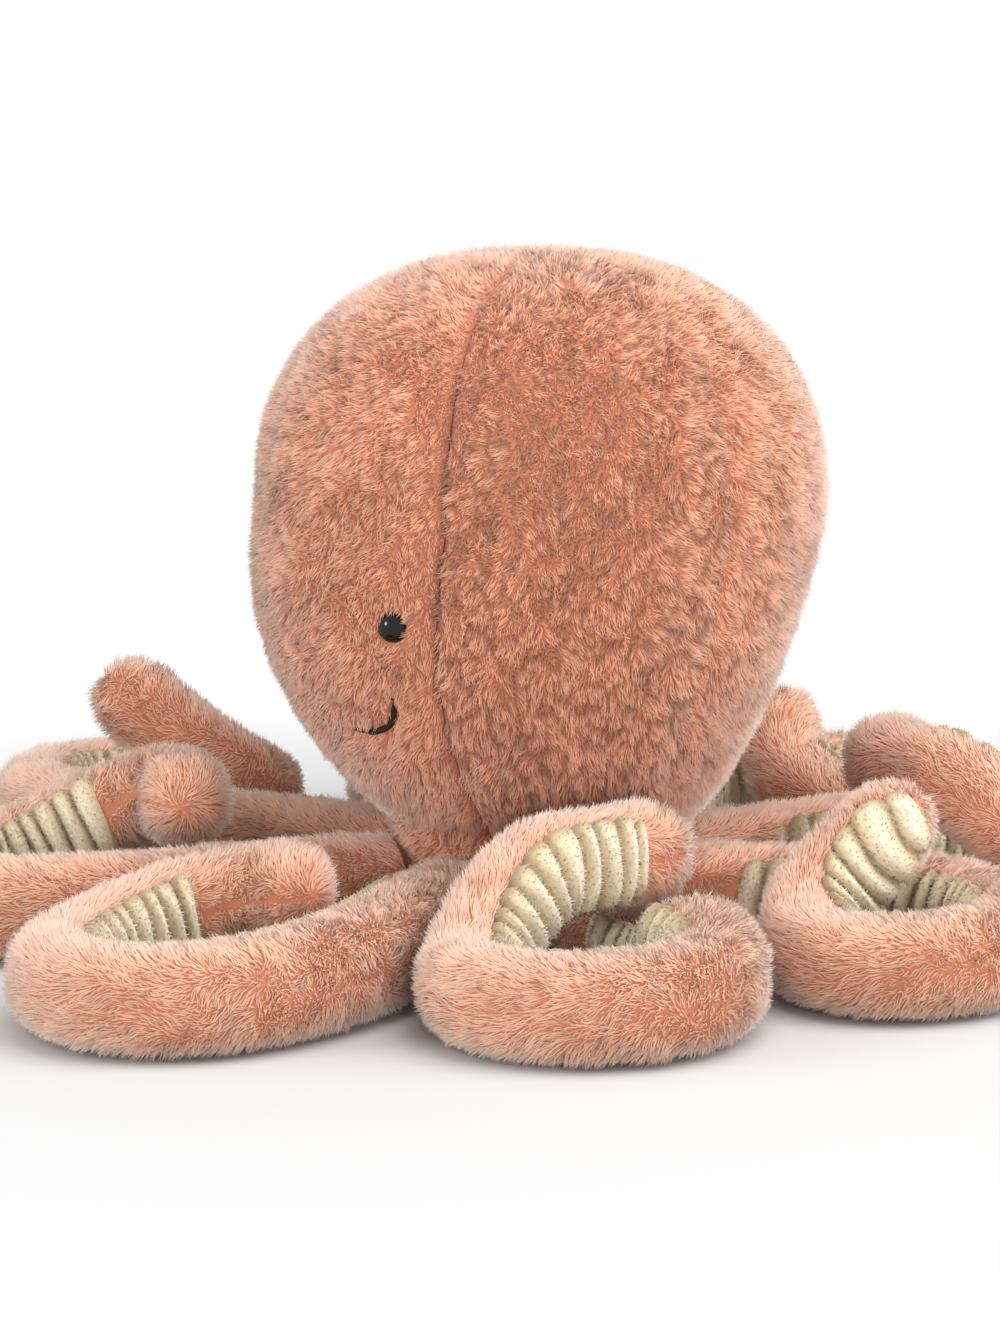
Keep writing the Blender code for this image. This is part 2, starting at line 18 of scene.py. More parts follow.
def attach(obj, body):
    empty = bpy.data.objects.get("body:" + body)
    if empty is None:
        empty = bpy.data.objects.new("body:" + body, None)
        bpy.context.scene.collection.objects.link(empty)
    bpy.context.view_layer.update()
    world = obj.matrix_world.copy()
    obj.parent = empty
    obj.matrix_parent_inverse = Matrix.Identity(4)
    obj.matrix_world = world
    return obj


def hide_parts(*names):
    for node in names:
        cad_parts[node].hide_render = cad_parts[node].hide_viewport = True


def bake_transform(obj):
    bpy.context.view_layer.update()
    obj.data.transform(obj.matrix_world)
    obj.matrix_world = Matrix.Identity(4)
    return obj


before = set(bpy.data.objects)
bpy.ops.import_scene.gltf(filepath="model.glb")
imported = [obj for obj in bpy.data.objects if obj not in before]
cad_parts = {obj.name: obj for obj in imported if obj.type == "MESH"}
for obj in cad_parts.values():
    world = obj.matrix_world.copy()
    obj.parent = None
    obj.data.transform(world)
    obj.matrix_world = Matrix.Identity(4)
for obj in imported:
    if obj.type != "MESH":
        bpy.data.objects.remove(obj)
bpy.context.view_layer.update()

# %% [markdown]
# ## The camera comes first
#
# The photograph looks at the toy from its front left, from a little above, through a long lens.
# Setting the camera before anything else means that every later choice can be judged from there.

# %% Camera
CAMERA_ANGLE = 50
CAMERA_RISE = 10
CAMERA_DISTANCE = 1.8
CAMERA_AIM_HEIGHT = 0.110
CAMERA_AIM_ASIDE = -0.017
CAMERA_LENS = 115.74
SENSOR_WIDTH = 36
FARTHEST_SEEN = 20


def direction(angle, rise):
    """From the toy outward: angle 0 is its front, and rise lifts the direction."""
    turn, up = math.radians(angle), math.radians(rise)
    return Vector((math.sin(turn) * math.cos(up), -math.cos(turn) * math.cos(up), math.sin(up)))


def add_camera():
    """The photograph's camera, aimed at the middle of the toy."""
    back = direction(CAMERA_ANGLE, CAMERA_RISE)
    turn = math.radians(CAMERA_ANGLE)
    right = Vector((math.cos(turn), math.sin(turn), 0))
    aim = right * CAMERA_AIM_ASIDE + Vector((0, 0, CAMERA_AIM_HEIGHT))
    data = bpy.data.cameras.new("camera")
    data.lens = CAMERA_LENS
    data.sensor_width = SENSOR_WIDTH
    data.clip_end = FARTHEST_SEEN
    camera = bpy.data.objects.new("camera", data)
    up = back.cross(right)
    turned = Matrix((right, up, back)).transposed().to_4x4()
    camera.matrix_world = Matrix.Translation(aim + back * CAMERA_DISTANCE) @ turned
    bpy.context.collection.objects.link(camera)
    bpy.context.scene.camera = camera
    return camera


camera = add_camera()
print("Camera at", [round(v, 3) for v in camera.location])

# %% [markdown]
# ## Meshes from arrays
#
# Fur needs hundreds of thousands of points, and numpy makes them in one go. One helper turns such
# arrays into a mesh. Each corner carries a small pair of numbers in a UV map: how light the strand
# is against its neighbours, painted shade and painted light included, and how far up the strand the
# corner lies. The finishes read their colours from that pair, so a strand is dark at its root,
# which is painted shade, and pale at its tip, which is partly painted light.

# %% Mesh helper
TINT_MAP = "OFBake"


def unit(vectors):
    """The same directions, each one long."""
    return vectors / np.maximum(np.linalg.norm(vectors, axis=-1, keepdims=True), 1e-12)


def ease(share):
    """A smooth step: 0 below 0, 1 above 1, and soft at both ends."""
    share = np.clip(share, 0, 1)
    return share * share * (3 - 2 * share)


def mesh_piece(name, points, faces, tints, heights, material):
    """A mesh from points, faces of one or more sizes, and a tint and a height for each point."""
    mesh = bpy.data.meshes.new(name)
    sizes = np.concatenate([np.full(len(part), part.shape[1]) for part in faces])
    corners = np.concatenate([part.reshape(-1) for part in faces]).astype(np.int32)
    starts = np.concatenate([[0], np.cumsum(sizes)[:-1]]).astype(np.int32)
    mesh.vertices.add(len(points))
    mesh.vertices.foreach_set("co", np.asarray(points, np.float32).reshape(-1))
    mesh.loops.add(len(corners))
    mesh.loops.foreach_set("vertex_index", corners)
    mesh.polygons.add(len(starts))
    mesh.polygons.foreach_set("loop_start", starts)
    mesh.update(calc_edges=True)
    pairs = np.stack([np.asarray(tints)[corners], np.asarray(heights)[corners]], axis=1)
    mesh.uv_layers.new(name=TINT_MAP).data.foreach_set("uv", pairs.astype(np.float32).reshape(-1))
    mesh.shade_smooth()
    mesh.materials.append(material)
    piece = bpy.data.objects.new(name, mesh)
    bpy.context.collection.objects.link(piece)
    return piece


def grid_quads(rows, columns, closed):
    """Faces of a grid of points, row after row, joined round if closed."""
    last = columns if closed else columns - 1
    row, column = np.meshgrid(np.arange(rows - 1), np.arange(last), indexing="ij")
    beside = (column + 1) % columns
    a, b = row * columns + column, row * columns + beside
    return np.stack([a, b, b + columns, a + columns], axis=-1).reshape(-1, 4)


def waves(points, size, seed, count=9):
    """Smooth noise from -1 to 1 whose bumps are about size across."""
    random = np.random.default_rng(seed)
    ways = unit(random.normal(size=(count, 3))) * random.uniform(0.7, 1.5, (count, 1))
    ways = ways * 2 * math.pi / size
    turns = random.uniform(0, 2 * math.pi, count)
    return np.sin(points @ ways.T + turns).sum(axis=1) / math.sqrt(count) / 1.4


# %% [markdown]
# ## Finishes
#
# The plush is one fibre in a few shades of coral. What the eye reads as fur is mostly the step from
# dark roots to pale tips, with each strand a little lighter or darker than the next, so a node
# group mixes three colours from those two numbers. The dark roots are painted shade deep in the
# pile, and the pale tips are partly the fibre's own colour and partly painted light. The cord cloth
# uses the same group with creams: painted shade in its valleys, painted light on its ribs. A soft
# sheen on the shader stands for the many fine hair ends that catch light at the edge of a form.

# %% Node helpers
# Heights along a strand: up to ROOT_ENDS the root's painted shade gives way to the body colour, and
# from TIP_STARTS to TIP_ENDS the pale tip colour, partly painted light, comes in.
ROOT_ENDS = 0.45
TIP_STARTS, TIP_ENDS = 0.35, 0.85
ROUGH_ROOT, ROUGH_TIP = 1.0, 0.72


def socket_of(group, name, way, kind, default=None):
    """A named input or output of a node group."""
    socket = group.interface.new_socket(name=name, in_out=way, socket_type=kind)
    if default is not None:
        socket.default_value = default
    return socket


def link(tree, start, end):
    """Join an output to an input."""
    tree.links.new(start, end)


def make_pile_group():
    """Colours of a pile: painted shade at the root, pale at the tip, partly painted light, and
    lighter or darker strand by strand.
    """
    group = bpy.data.node_groups.new("pile_colours", "ShaderNodeTree")
    for name in ("Root", "Body", "Tip"):
        socket_of(group, name, "INPUT", "NodeSocketColor")
    socket_of(group, "Tint", "INPUT", "NodeSocketFloat", 0.5)
    socket_of(group, "Height", "INPUT", "NodeSocketFloat", 0.5)
    socket_of(group, "Contrast", "INPUT", "NodeSocketFloat", 0.3)
    socket_of(group, "Colour", "OUTPUT", "NodeSocketColor")
    socket_of(group, "Roughness", "OUTPUT", "NodeSocketFloat")
    nodes = group.nodes
    inputs, outputs = nodes.new("NodeGroupInput"), nodes.new("NodeGroupOutput")
    lower = nodes.new("ShaderNodeMapRange")
    lower.inputs["From Max"].default_value = ROOT_ENDS
    link(group, inputs.outputs["Height"], lower.inputs["Value"])
    upper = nodes.new("ShaderNodeMapRange")
    upper.inputs["From Min"].default_value = TIP_STARTS
    upper.inputs["From Max"].default_value = TIP_ENDS
    link(group, inputs.outputs["Height"], upper.inputs["Value"])
    first, second = nodes.new("ShaderNodeMix"), nodes.new("ShaderNodeMix")
    first.data_type = second.data_type = "RGBA"
    link(group, lower.outputs["Result"], first.inputs["Factor"])
    link(group, inputs.outputs["Root"], first.inputs["A"])
    link(group, inputs.outputs["Body"], first.inputs["B"])
    link(group, upper.outputs["Result"], second.inputs["Factor"])
    link(group, first.outputs["Result"], second.inputs["A"])
    link(group, inputs.outputs["Tip"], second.inputs["B"])
    centred = nodes.new("ShaderNodeMath")
    centred.operation = "SUBTRACT"
    centred.inputs[1].default_value = 0.5
    link(group, inputs.outputs["Tint"], centred.inputs[0])
    swing = nodes.new("ShaderNodeMath")
    swing.operation = "MULTIPLY_ADD"
    swing.inputs[2].default_value = 1
    link(group, centred.outputs[0], swing.inputs[0])
    link(group, inputs.outputs["Contrast"], swing.inputs[1])
    shade = nodes.new("ShaderNodeVectorMath")
    shade.operation = "SCALE"
    link(group, second.outputs["Result"], shade.inputs[0])
    link(group, swing.outputs[0], shade.inputs["Scale"])
    link(group, shade.outputs[0], outputs.inputs["Colour"])
    rough = nodes.new("ShaderNodeMapRange")
    rough.inputs["To Min"].default_value = ROUGH_ROOT
    rough.inputs["To Max"].default_value = ROUGH_TIP
    link(group, inputs.outputs["Height"], rough.inputs["Value"])
    link(group, rough.outputs["Result"], outputs.inputs["Roughness"])
    return group


PILE_GROUP = make_pile_group()
PILE_SPECULAR = 0.25
SHEEN_ROUGHNESS = 0.55
GRAIN_STRENGTH = 0.5
GRAIN_DEPTH = 0.0006


def make_pile(name, root, body, tip, contrast, sheen, sheen_tint, grain=None):
    """A fabric finish with three colours from root to tip, and a fine bump where it has grain."""
    material = bpy.data.materials.new(name)
    material.use_nodes = True
    tree = material.node_tree
    shader = tree.nodes["Principled BSDF"]
    shader.inputs["Specular IOR Level"].default_value = PILE_SPECULAR
    shader.inputs["Sheen Weight"].default_value = sheen
    shader.inputs["Sheen Roughness"].default_value = SHEEN_ROUGHNESS
    shader.inputs["Sheen Tint"].default_value = (*sheen_tint, 1)
    pile = tree.nodes.new("ShaderNodeGroup")
    pile.node_tree = PILE_GROUP
    # The Root colour is painted shade deep in the pile; the Tip colour is partly the fibre's own
    # and partly painted light.
    for label, colour in (("Root", root), ("Body", body), ("Tip", tip)):
        pile.inputs[label].default_value = (*colour, 1)
    pile.inputs["Contrast"].default_value = contrast
    pair = tree.nodes.new("ShaderNodeUVMap")
    pair.uv_map = TINT_MAP
    parts = tree.nodes.new("ShaderNodeSeparateXYZ")
    link(tree, pair.outputs["UV"], parts.inputs["Vector"])
    link(tree, parts.outputs["X"], pile.inputs["Tint"])
    link(tree, parts.outputs["Y"], pile.inputs["Height"])
    link(tree, pile.outputs["Colour"], shader.inputs["Base Color"])
    link(tree, pile.outputs["Roughness"], shader.inputs["Roughness"])
    if grain:
        place = tree.nodes.new("ShaderNodeTexCoord")
        noise = tree.nodes.new("ShaderNodeTexNoise")
        noise.inputs["Scale"].default_value = grain
        noise.inputs["Detail"].default_value = 3
        bump = tree.nodes.new("ShaderNodeBump")
        bump.inputs["Strength"].default_value = GRAIN_STRENGTH
        bump.inputs["Distance"].default_value = GRAIN_DEPTH
        link(tree, place.outputs["Object"], noise.inputs["Vector"])
        link(tree, noise.outputs["Fac"], bump.inputs["Height"])
        link(tree, bump.outputs["Normal"], shader.inputs["Normal"])
    return material


# %% The plush and the cord cloth
PALE_SHEEN = (1.0, 0.87, 0.78)
CREAM_SHEEN = (1.0, 0.97, 0.92)
# The dark Root colours of both plushes are painted shade, and their pale Tips are partly painted
# light.
HEAD_PLUSH = make_pile(
    "coral_plush_head", (0.34, 0.10, 0.043), (0.77, 0.280, 0.152), (0.87, 0.48, 0.33),
    contrast=1.10, sheen=1.0, sheen_tint=PALE_SHEEN,
)
ARM_PLUSH = make_pile(
    "coral_plush_arms", (0.60, 0.272, 0.168), (0.77, 0.387, 0.256), (0.86, 0.55, 0.405),
    contrast=0.60, sheen=1.0, sheen_tint=PALE_SHEEN,
)
# The backing shows only between strands, so it is coloured as the pile in painted shade.
BACKING_PAINTED_SHADE = make_pile(
    "coral_backing_painted_shade", (0.42, 0.14, 0.075), (0.58, 0.22, 0.13), (0.70, 0.32, 0.20),
    contrast=0.3, sheen=0.1, sheen_tint=PALE_SHEEN, grain=900,
)
# The cord's dark Root colour is painted shade for its rib valleys, its pale Tip painted light on
# the ribs.
CORD = make_pile(
    "cream_cord", (0.28, 0.18, 0.09), (0.60, 0.48, 0.305), (0.79, 0.69, 0.51),
    contrast=0.24, sheen=0.4, sheen_tint=CREAM_SHEEN, grain=1400,
)
print("Finishes:", [m.name for m in (HEAD_PLUSH, ARM_PLUSH, BACKING_PAINTED_SHADE, CORD)])

# %% [markdown]
# ## How a pile is planted
#
# Real pile is millions of fine fibres that lie together in small pointed tufts. Each strand here is
# a slim spike that leaves the cloth at a slant and leans over with the nap. Strands in the same
# patch lean toward the middle of that patch, which makes the tufts and the dark creases between
# them; the strands in those creases also carry painted shade. The spikes take their shading
# direction mostly from the cloth underneath, and so the pile catches light softly, as one surface.

# %% Tufts and strands
STRAND_SINK = 0.0006
STRAND_STAND = 0.78
STRAND_SPREAD = 0.15
TUFT_STRETCH = 0.75
LARGE_TUFT = 2.6
SMALL_PULL, LARGE_PULL = 0.55, 0.14
ABOVE_FLOOR = 0.0003
SPIKE_SIDES = ((0, 1, 3), (1, 2, 3), (2, 0, 3))
MIXING_STEPS = (374761393, 668265263, 2246822519)


def scatter(*numbers):
    """A steady random number from 0 to 1 for each set of whole numbers."""
    mixed = sum(np.asarray(number, np.int64) * step for number, step in zip(numbers, MIXING_STEPS))
    mixed = (mixed ^ (mixed >> 13)) * 1274126177 & 0xFFFFFFFF
    return ((mixed ^ (mixed >> 16)) & 0xFFFFFF) / 0xFFFFFF


def tufts(points, x, y, size, seed):
    """From each place on the cloth to the middle of its tuft, and one random number per tuft."""
    x = x + 0.45 * size * waves(points, size * 2.6, seed + 3)
    y = TUFT_STRETCH * y + 0.45 * size * waves(points, size * 3.0, seed + 4)
    column, row = np.floor(x / size), np.floor(y / size)
    best = np.full(len(x), 1e9)
    found = np.zeros((3, len(x)))
    for right in (-1, 0, 1):
        for below in (-1, 0, 1):
            near_column, near_row = column + right, row + below
            away_x = (near_column + scatter(near_column, near_row, seed)) * size - x
            away_y = (near_row + scatter(near_column, near_row, seed + 1)) * size - y
            distance = away_x**2 + away_y**2
            nearer = distance < best
            best = np.where(nearer, distance, best)
            chance = scatter(near_column, near_row, seed + 2)
            found = np.where(nearer, np.stack([away_x, away_y, chance]), found)
    return found


def tuft_pull(small, large, across, along):
    """How far each tip is drawn toward the middles of its small and of its large tuft."""
    aside, ahead = (SMALL_PULL * small[axis] + LARGE_PULL * large[axis] for axis in (0, 1))
    return across * aside[:, None] + along * ahead[:, None]


def spike_faces(count):
    """The three sides of each spike, whose four points follow each other."""
    first = (np.arange(count) * 4)[:, None]
    return np.concatenate([first + np.array(corners) for corners in SPIKE_SIDES])


def strands(name, base, normal, nap, lean, pull, length, width, tint, random, material):
    """Plant one slim spike at each base point, leaning along the nap and pulled toward its tuft."""
    count = len(base)
    nap = nap - normal * np.sum(nap * normal, axis=1, keepdims=True)
    way = unit(normal * STRAND_STAND + nap * lean + random.normal(0, STRAND_SPREAD, (count, 3)))
    root = base - normal * STRAND_SINK
    tip = root + way * length[:, None] + pull
    side = unit(np.cross(way, random.normal(size=(count, 3))))
    over = np.cross(way, side)
    points, facing = np.empty((count, 4, 3)), np.empty((count, 4, 3))
    for corner in range(3):
        turn = 2 * math.pi * corner / 3
        spoke = side * math.cos(turn) + over * math.sin(turn)
        points[:, corner] = root + spoke * width[:, None] / 2
        facing[:, corner] = normal * 0.75 + spoke * 0.45
    points[:, 3] = tip
    facing[:, 3] = normal * 0.85 + way * 0.3
    points[:, :, 2] = np.maximum(points[:, :, 2], ABOVE_FLOOR)
    # Root corners take the painted shade of the root, the tip corner the pale tip colour.
    heights = np.tile([0, 0, 0, 1.0], count)
    pile = mesh_piece(
        name, points.reshape(-1, 3), [spike_faces(count)], np.repeat(tint, 4), heights, material,
    )
    pile.data.normals_split_custom_set_from_vertices(unit(facing).reshape(-1, 3))
    return pile


def strand_tints(points, tuft, size, crease, random, seed):
    """Tints of single strands: broad clouds, lighter and darker tufts, and painted shade in the
    creases.
    """
    cloud = 0.60 + 0.09 * waves(points, 0.034, seed) + 0.14 * waves(points, 0.009, seed + 1)
    # Painted shade: darker the farther a strand stands from its tuft's middle.
    tufted_and_shaded = cloud + 0.16 * (tuft[2] - 0.5) - crease * (np.hypot(tuft[0], tuft[1]) / size) ** 2.5
    return tufted_and_shaded + random.normal(0, 0.05, len(points))


# %% [markdown]
# ## The head's form
#
# Two curves make the outline: a rounded dome above the widest ring and a long cheek below it
# that narrows to the neck. The lower head leans out over the face. The panels pull in at their
# seams, which is what makes a sewn ball look sewn. The cloth lies a few millimetres under the
# solids' surface, so that the fur's tips end just outside it.

# %% Outline of the head
HEAD_TOP_HEIGHT = 0.286
HEAD_WIDEST_HEIGHT = 0.181
HEAD_RADIUS = 0.120
NECK_HEIGHT = 0.050
NECK_RADIUS = 0.066
FOOT_RADIUS = 0.060
BASE_THICKNESS = 0.005
CHIN_REACH = 0.008
CROWN_CURVE = 2.3
CHEEK_CURVE = 0.82
SEAM_ANGLES = (-30, 30, 90, 150, 210, 270)
PANEL_ANGLE = 60
PANEL_NAMES = ("face", "left_front", "left_rear", "back", "right_rear", "right_front")
SEAM_SINK = 0.0034
CLOTH_DEPTH = 0.0034
LINING_DEPTH = 0.0066
EYE_ANGLE = 20.7
EYE_HEIGHT = 0.1436
EYE_RADIUS = 0.0062
SMILE_ANGLE = 18.8
SMILE_LOW = 0.0945
SMILE_DEPTH = 0.0180
SMILE_CURVE = 2.7
EYE_PRESS = 0.0022
EYE_DIMPLE = 0.0095
SMILE_PRESS = 0.0014
SMILE_DIMPLE = 0.0050
OUTLINE_POINTS = 500
SEAM_FADE = 10


def head_outline():
    """Radius, height and outward direction down the head, at even steps."""
    turn = np.linspace(math.pi / 2, 0, 160)
    power = 2 / CROWN_CURVE
    radius = HEAD_RADIUS * np.cos(turn).clip(0) ** power
    height = HEAD_WIDEST_HEIGHT + (HEAD_TOP_HEIGHT - HEAD_WIDEST_HEIGHT) * np.sin(turn) ** power
    down = np.sin(np.linspace(0, math.pi / 2, 161)[1:])
    cheek = NECK_RADIUS + (HEAD_RADIUS - NECK_RADIUS) * (1 - down * down).clip(0) ** CHEEK_CURVE
    fall = HEAD_WIDEST_HEIGHT - (HEAD_WIDEST_HEIGHT - NECK_HEIGHT) * down
    foot = np.linspace(0, 1, 25)[1:]
    radius = np.concatenate([radius, cheek, NECK_RADIUS + (FOOT_RADIUS - NECK_RADIUS) * foot])
    hem = BASE_THICKNESS + 0.0006
    height = np.concatenate([height, fall, NECK_HEIGHT + (hem - NECK_HEIGHT) * foot])
    line = np.stack([radius, height], axis=1)
    steps = np.concatenate([[0], np.cumsum(np.linalg.norm(np.diff(line, axis=0), axis=1))])
    even = np.linspace(0, steps[-1], OUTLINE_POINTS)
    line = np.stack([np.interp(even, steps, line[:, axis]) for axis in range(2)], axis=1)
    for _ in range(6):
        line[1:-1] = (line[:-2] + 2 * line[1:-1] + line[2:]) / 4
    slope = np.gradient(line, axis=0)
    out = unit(np.stack([-slope[:, 1], slope[:, 0]], axis=1))
    out[0] = (0, 1)
    return line, out, steps[-1]


OUTLINE, OUTLINE_OUT, OUTLINE_LENGTH = head_outline()


def smile_path(count):
    """Angle and height along the smile, from its one end to the other."""
    turn = np.linspace(-math.pi / 2, math.pi / 2, count)
    power = 2 / SMILE_CURVE
    angle = SMILE_ANGLE * np.sign(turn) * np.abs(np.sin(turn)) ** power
    return angle, SMILE_LOW + SMILE_DEPTH * (1 - np.abs(np.cos(turn)) ** power)


def dimples(angle, height):
    """How far the cloth is drawn in by the smile's stitches and by the eyes' shanks."""
    turned = (np.asarray(angle, float) + 180) % 360 - 180
    pressed = np.zeros(np.broadcast(turned, height).shape)
    for side in (-1, 1):
        away = np.hypot(np.radians(turned - side * EYE_ANGLE) * HEAD_RADIUS, height - EYE_HEIGHT)
        pressed = pressed + EYE_PRESS * np.exp(-((away / EYE_DIMPLE) ** 2))
    away = np.full(pressed.shape, 1.0)
    for mark, mark_height in zip(*smile_path(41)):
        aside = np.radians(turned - mark) * HEAD_RADIUS * 0.93
        away = np.minimum(away, np.hypot(aside, height - mark_height))
    return pressed + SMILE_PRESS * np.exp(-((away / SMILE_DIMPLE) ** 2))


def beside_face(angle):
    """1 near the two seams of the face, which are the deepest, and 0 elsewhere."""
    turned = (np.asarray(angle) + 180) % 360 - 180
    return ease(2 - np.abs(np.abs(turned) - SEAM_ANGLES[1]) / SEAM_FADE)


def head_points(down, angle, depth, dimpled=True):
    """Points of the head: down the outline from 0 to 1, round from the face, under the surface."""
    place = down * (len(OUTLINE) - 1)
    index = np.arange(len(OUTLINE))
    full, height = (np.interp(place, index, OUTLINE[:, axis]) for axis in (0, 1))
    out, upward = (np.interp(place, index, OUTLINE_OUT[:, axis]) for axis in (0, 1))
    if dimpled:
        depth = depth + dimples(angle, height)
    across = (angle - SEAM_ANGLES[0]) % PANEL_ANGLE / PANEL_ANGLE
    seam = np.abs(2 * across - 1)
    groove = (0.15 + 0.60 * beside_face(angle)) * seam**40
    pull = SEAM_SINK * (0.7 * seam**5 + groove) * full / HEAD_RADIUS
    low = np.clip((HEAD_WIDEST_HEIGHT - height) / (HEAD_WIDEST_HEIGHT - NECK_HEIGHT), 0, 1)
    lean = CHIN_REACH * np.sin(math.pi * low)
    radius = full - depth * out - pull
    height = height - depth * upward
    turn = np.radians(angle)
    return np.stack([radius * np.sin(turn), -radius * np.cos(turn) - lean, height], axis=-1)


def head_normals(down, angle, depth):
    """Outward directions of the head's cloth, from points a small step apart."""
    step, swing = 0.003, 0.4
    lower = head_points(np.minimum(down + step, 1), angle, depth)
    upper = head_points(np.maximum(down - step, 0), angle, depth)
    round_ = head_points(down, angle + swing, depth) - head_points(down, angle - swing, depth)
    return unit(np.cross(lower - upper, round_))


print("Outline of the head:", round(OUTLINE_LENGTH * 1000), "mm from crown to base")

# %% [markdown]
# ## Head panels
#
# Each panel is a closed shell of cloth between two seams, with its own planting of fur. The nap
# runs down the head. Beside a seam the locks lean away from it, which leaves the fine dark
# parting that shows in the photograph. Around the eyes and the smile the fur is left out, so
# that beads and thread sit down in the pile.

# %% Face places
EYE_END = 0.0006


def down_at(height):
    """How far down the outline a height lies, below the crown."""
    order = np.argsort(OUTLINE[:, 1])
    return np.interp(height, OUTLINE[order, 1], order / (len(OUTLINE) - 1))


def smile_line(count, depth):
    """Points and outward directions along the smile, a depth under the solids' surface."""
    angle, height = smile_path(count)
    return head_points(down_at(height), angle, depth), head_normals(down_at(height), angle, depth)


def eye_axis(side):
    """Front and direction of a bead eye, measured on its solid."""
    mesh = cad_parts["eye_" + side].data
    points = np.array([tuple(vertex.co) for vertex in mesh.vertices])
    angle = math.radians(EYE_ANGLE if side == "left" else -EYE_ANGLE)
    far = points @ np.array((math.sin(angle), -math.cos(angle), 0))
    front = points[far > far.max() - EYE_END].mean(axis=0)
    back = points[far < far.min() + EYE_END].mean(axis=0)
    return front, unit(front - back)


EYES = {side: eye_axis(side) for side in ("left", "right")}
SMILE, _ = smile_line(121, CLOTH_DEPTH - 0.002)
print("Eyes at", {side: [round(v * 1000, 1) for v in front] for side, (front, _) in EYES.items()})

# %% Panels and their fur
PANEL_SPACING = 0.00102
HEAD_PILE = 0.0054
HEAD_LEAN = 0.95
HEAD_STRAND = 0.00086
HEAD_TUFT = 0.0044
# A broad patch of painted shade high on the left front panel.
SHADE_PATCH_ANGLE = 56
SHADE_PATCH_HEIGHT = 0.205
PAINTED_PATCH_SHADE = 0.18
# Painted light on the upward-facing crown.
CROWN_PAINTED_LIGHT = 0.18
# Painted light low on the head, lifting the shade there.
LOW_PAINTED_LIGHT = 0.20
# How much painted shade each panel's creases get.
PANEL_CREASE_SHADE = (0.6, 1.5, 0.7, 0.9, 0.9, 0.9)
SEAM_GAP = 0.15
# Height on the backing that gives the cloth its painted shade.
CLOTH_PAINTED_SHADE = 0.35
LOWEST_FUR = 0.012
TINT_LIMITS = (0.02, 0.98)


def near_face_piece(points):
    """Distance to the nearest of the smile's thread, and to the nearest eye."""
    smile = np.full(len(points), 1.0)
    for spot in SMILE[::2]:
        smile = np.minimum(smile, np.linalg.norm(points - spot, axis=1))
    eye = np.full(len(points), 1.0)
    for front, way in EYES.values():
        offset = points - front
        level = offset - (offset @ way)[:, None] * way
        eye = np.minimum(eye, np.linalg.norm(level, axis=1))
    return smile, eye


def add_panel_cloth(number):
    """A panel's cloth: a closed shell that ends just inside its two seams."""
    name, start = PANEL_NAMES[number], SEAM_ANGLES[number]
    down = np.linspace(0.004, 1, 130)
    angle = start + np.linspace(SEAM_GAP, PANEL_ANGLE - SEAM_GAP, 41)
    grid_down, grid_angle = [g.reshape(-1) for g in np.meshgrid(down, angle, indexing="ij")]
    outer = head_points(grid_down, grid_angle, CLOTH_DEPTH)
    inner = head_points(grid_down, grid_angle, LINING_DEPTH, dimpled=False)
    rows, columns = len(down), len(angle)
    face = grid_quads(rows, columns, False)
    border = np.concatenate([
        np.arange(columns - 1, -1, -1),
        np.arange(rows)[1:] * columns,
        (rows - 1) * columns + np.arange(1, columns),
        (np.arange(rows - 2, 0, -1)) * columns + columns - 1,
    ])
    beside = np.roll(border, -1)
    rim = np.stack([border, border + rows * columns, beside + rows * columns, beside], axis=1)
    # The cloth takes a low height on the backing, which is painted shade.
    tints = np.full(2 * rows * columns, 0.5)
    skin = mesh_piece(
        "head_cloth_" + name, np.concatenate([outer, inner]),
        [face[:, ::-1], face + rows * columns, rim], tints, tints * 0 + CLOTH_PAINTED_SHADE, BACKING_PAINTED_SHADE,
    )
    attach(skin, "head")
    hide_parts("panel_" + name)


def panel_places(start, random):
    """Where a panel's strands stand: down the outline from 0 to 1, and the angle."""
    row_count = int(OUTLINE_LENGTH / PANEL_SPACING)
    places = []
    for row in range(row_count):
        middle = (row + 0.5) / row_count
        radius = np.interp(middle * (len(OUTLINE) - 1), np.arange(len(OUTLINE)), OUTLINE[:, 0])
        across = max(1, round(radius * math.radians(PANEL_ANGLE) / PANEL_SPACING))
        steps = (np.arange(across) + random.uniform(0.02, 0.98, across)) / across
        rise = (row + random.uniform(0, 1, across)) / row_count
        places.append(np.stack([rise, start + PANEL_ANGLE * steps], axis=1))
    return np.concatenate(places)


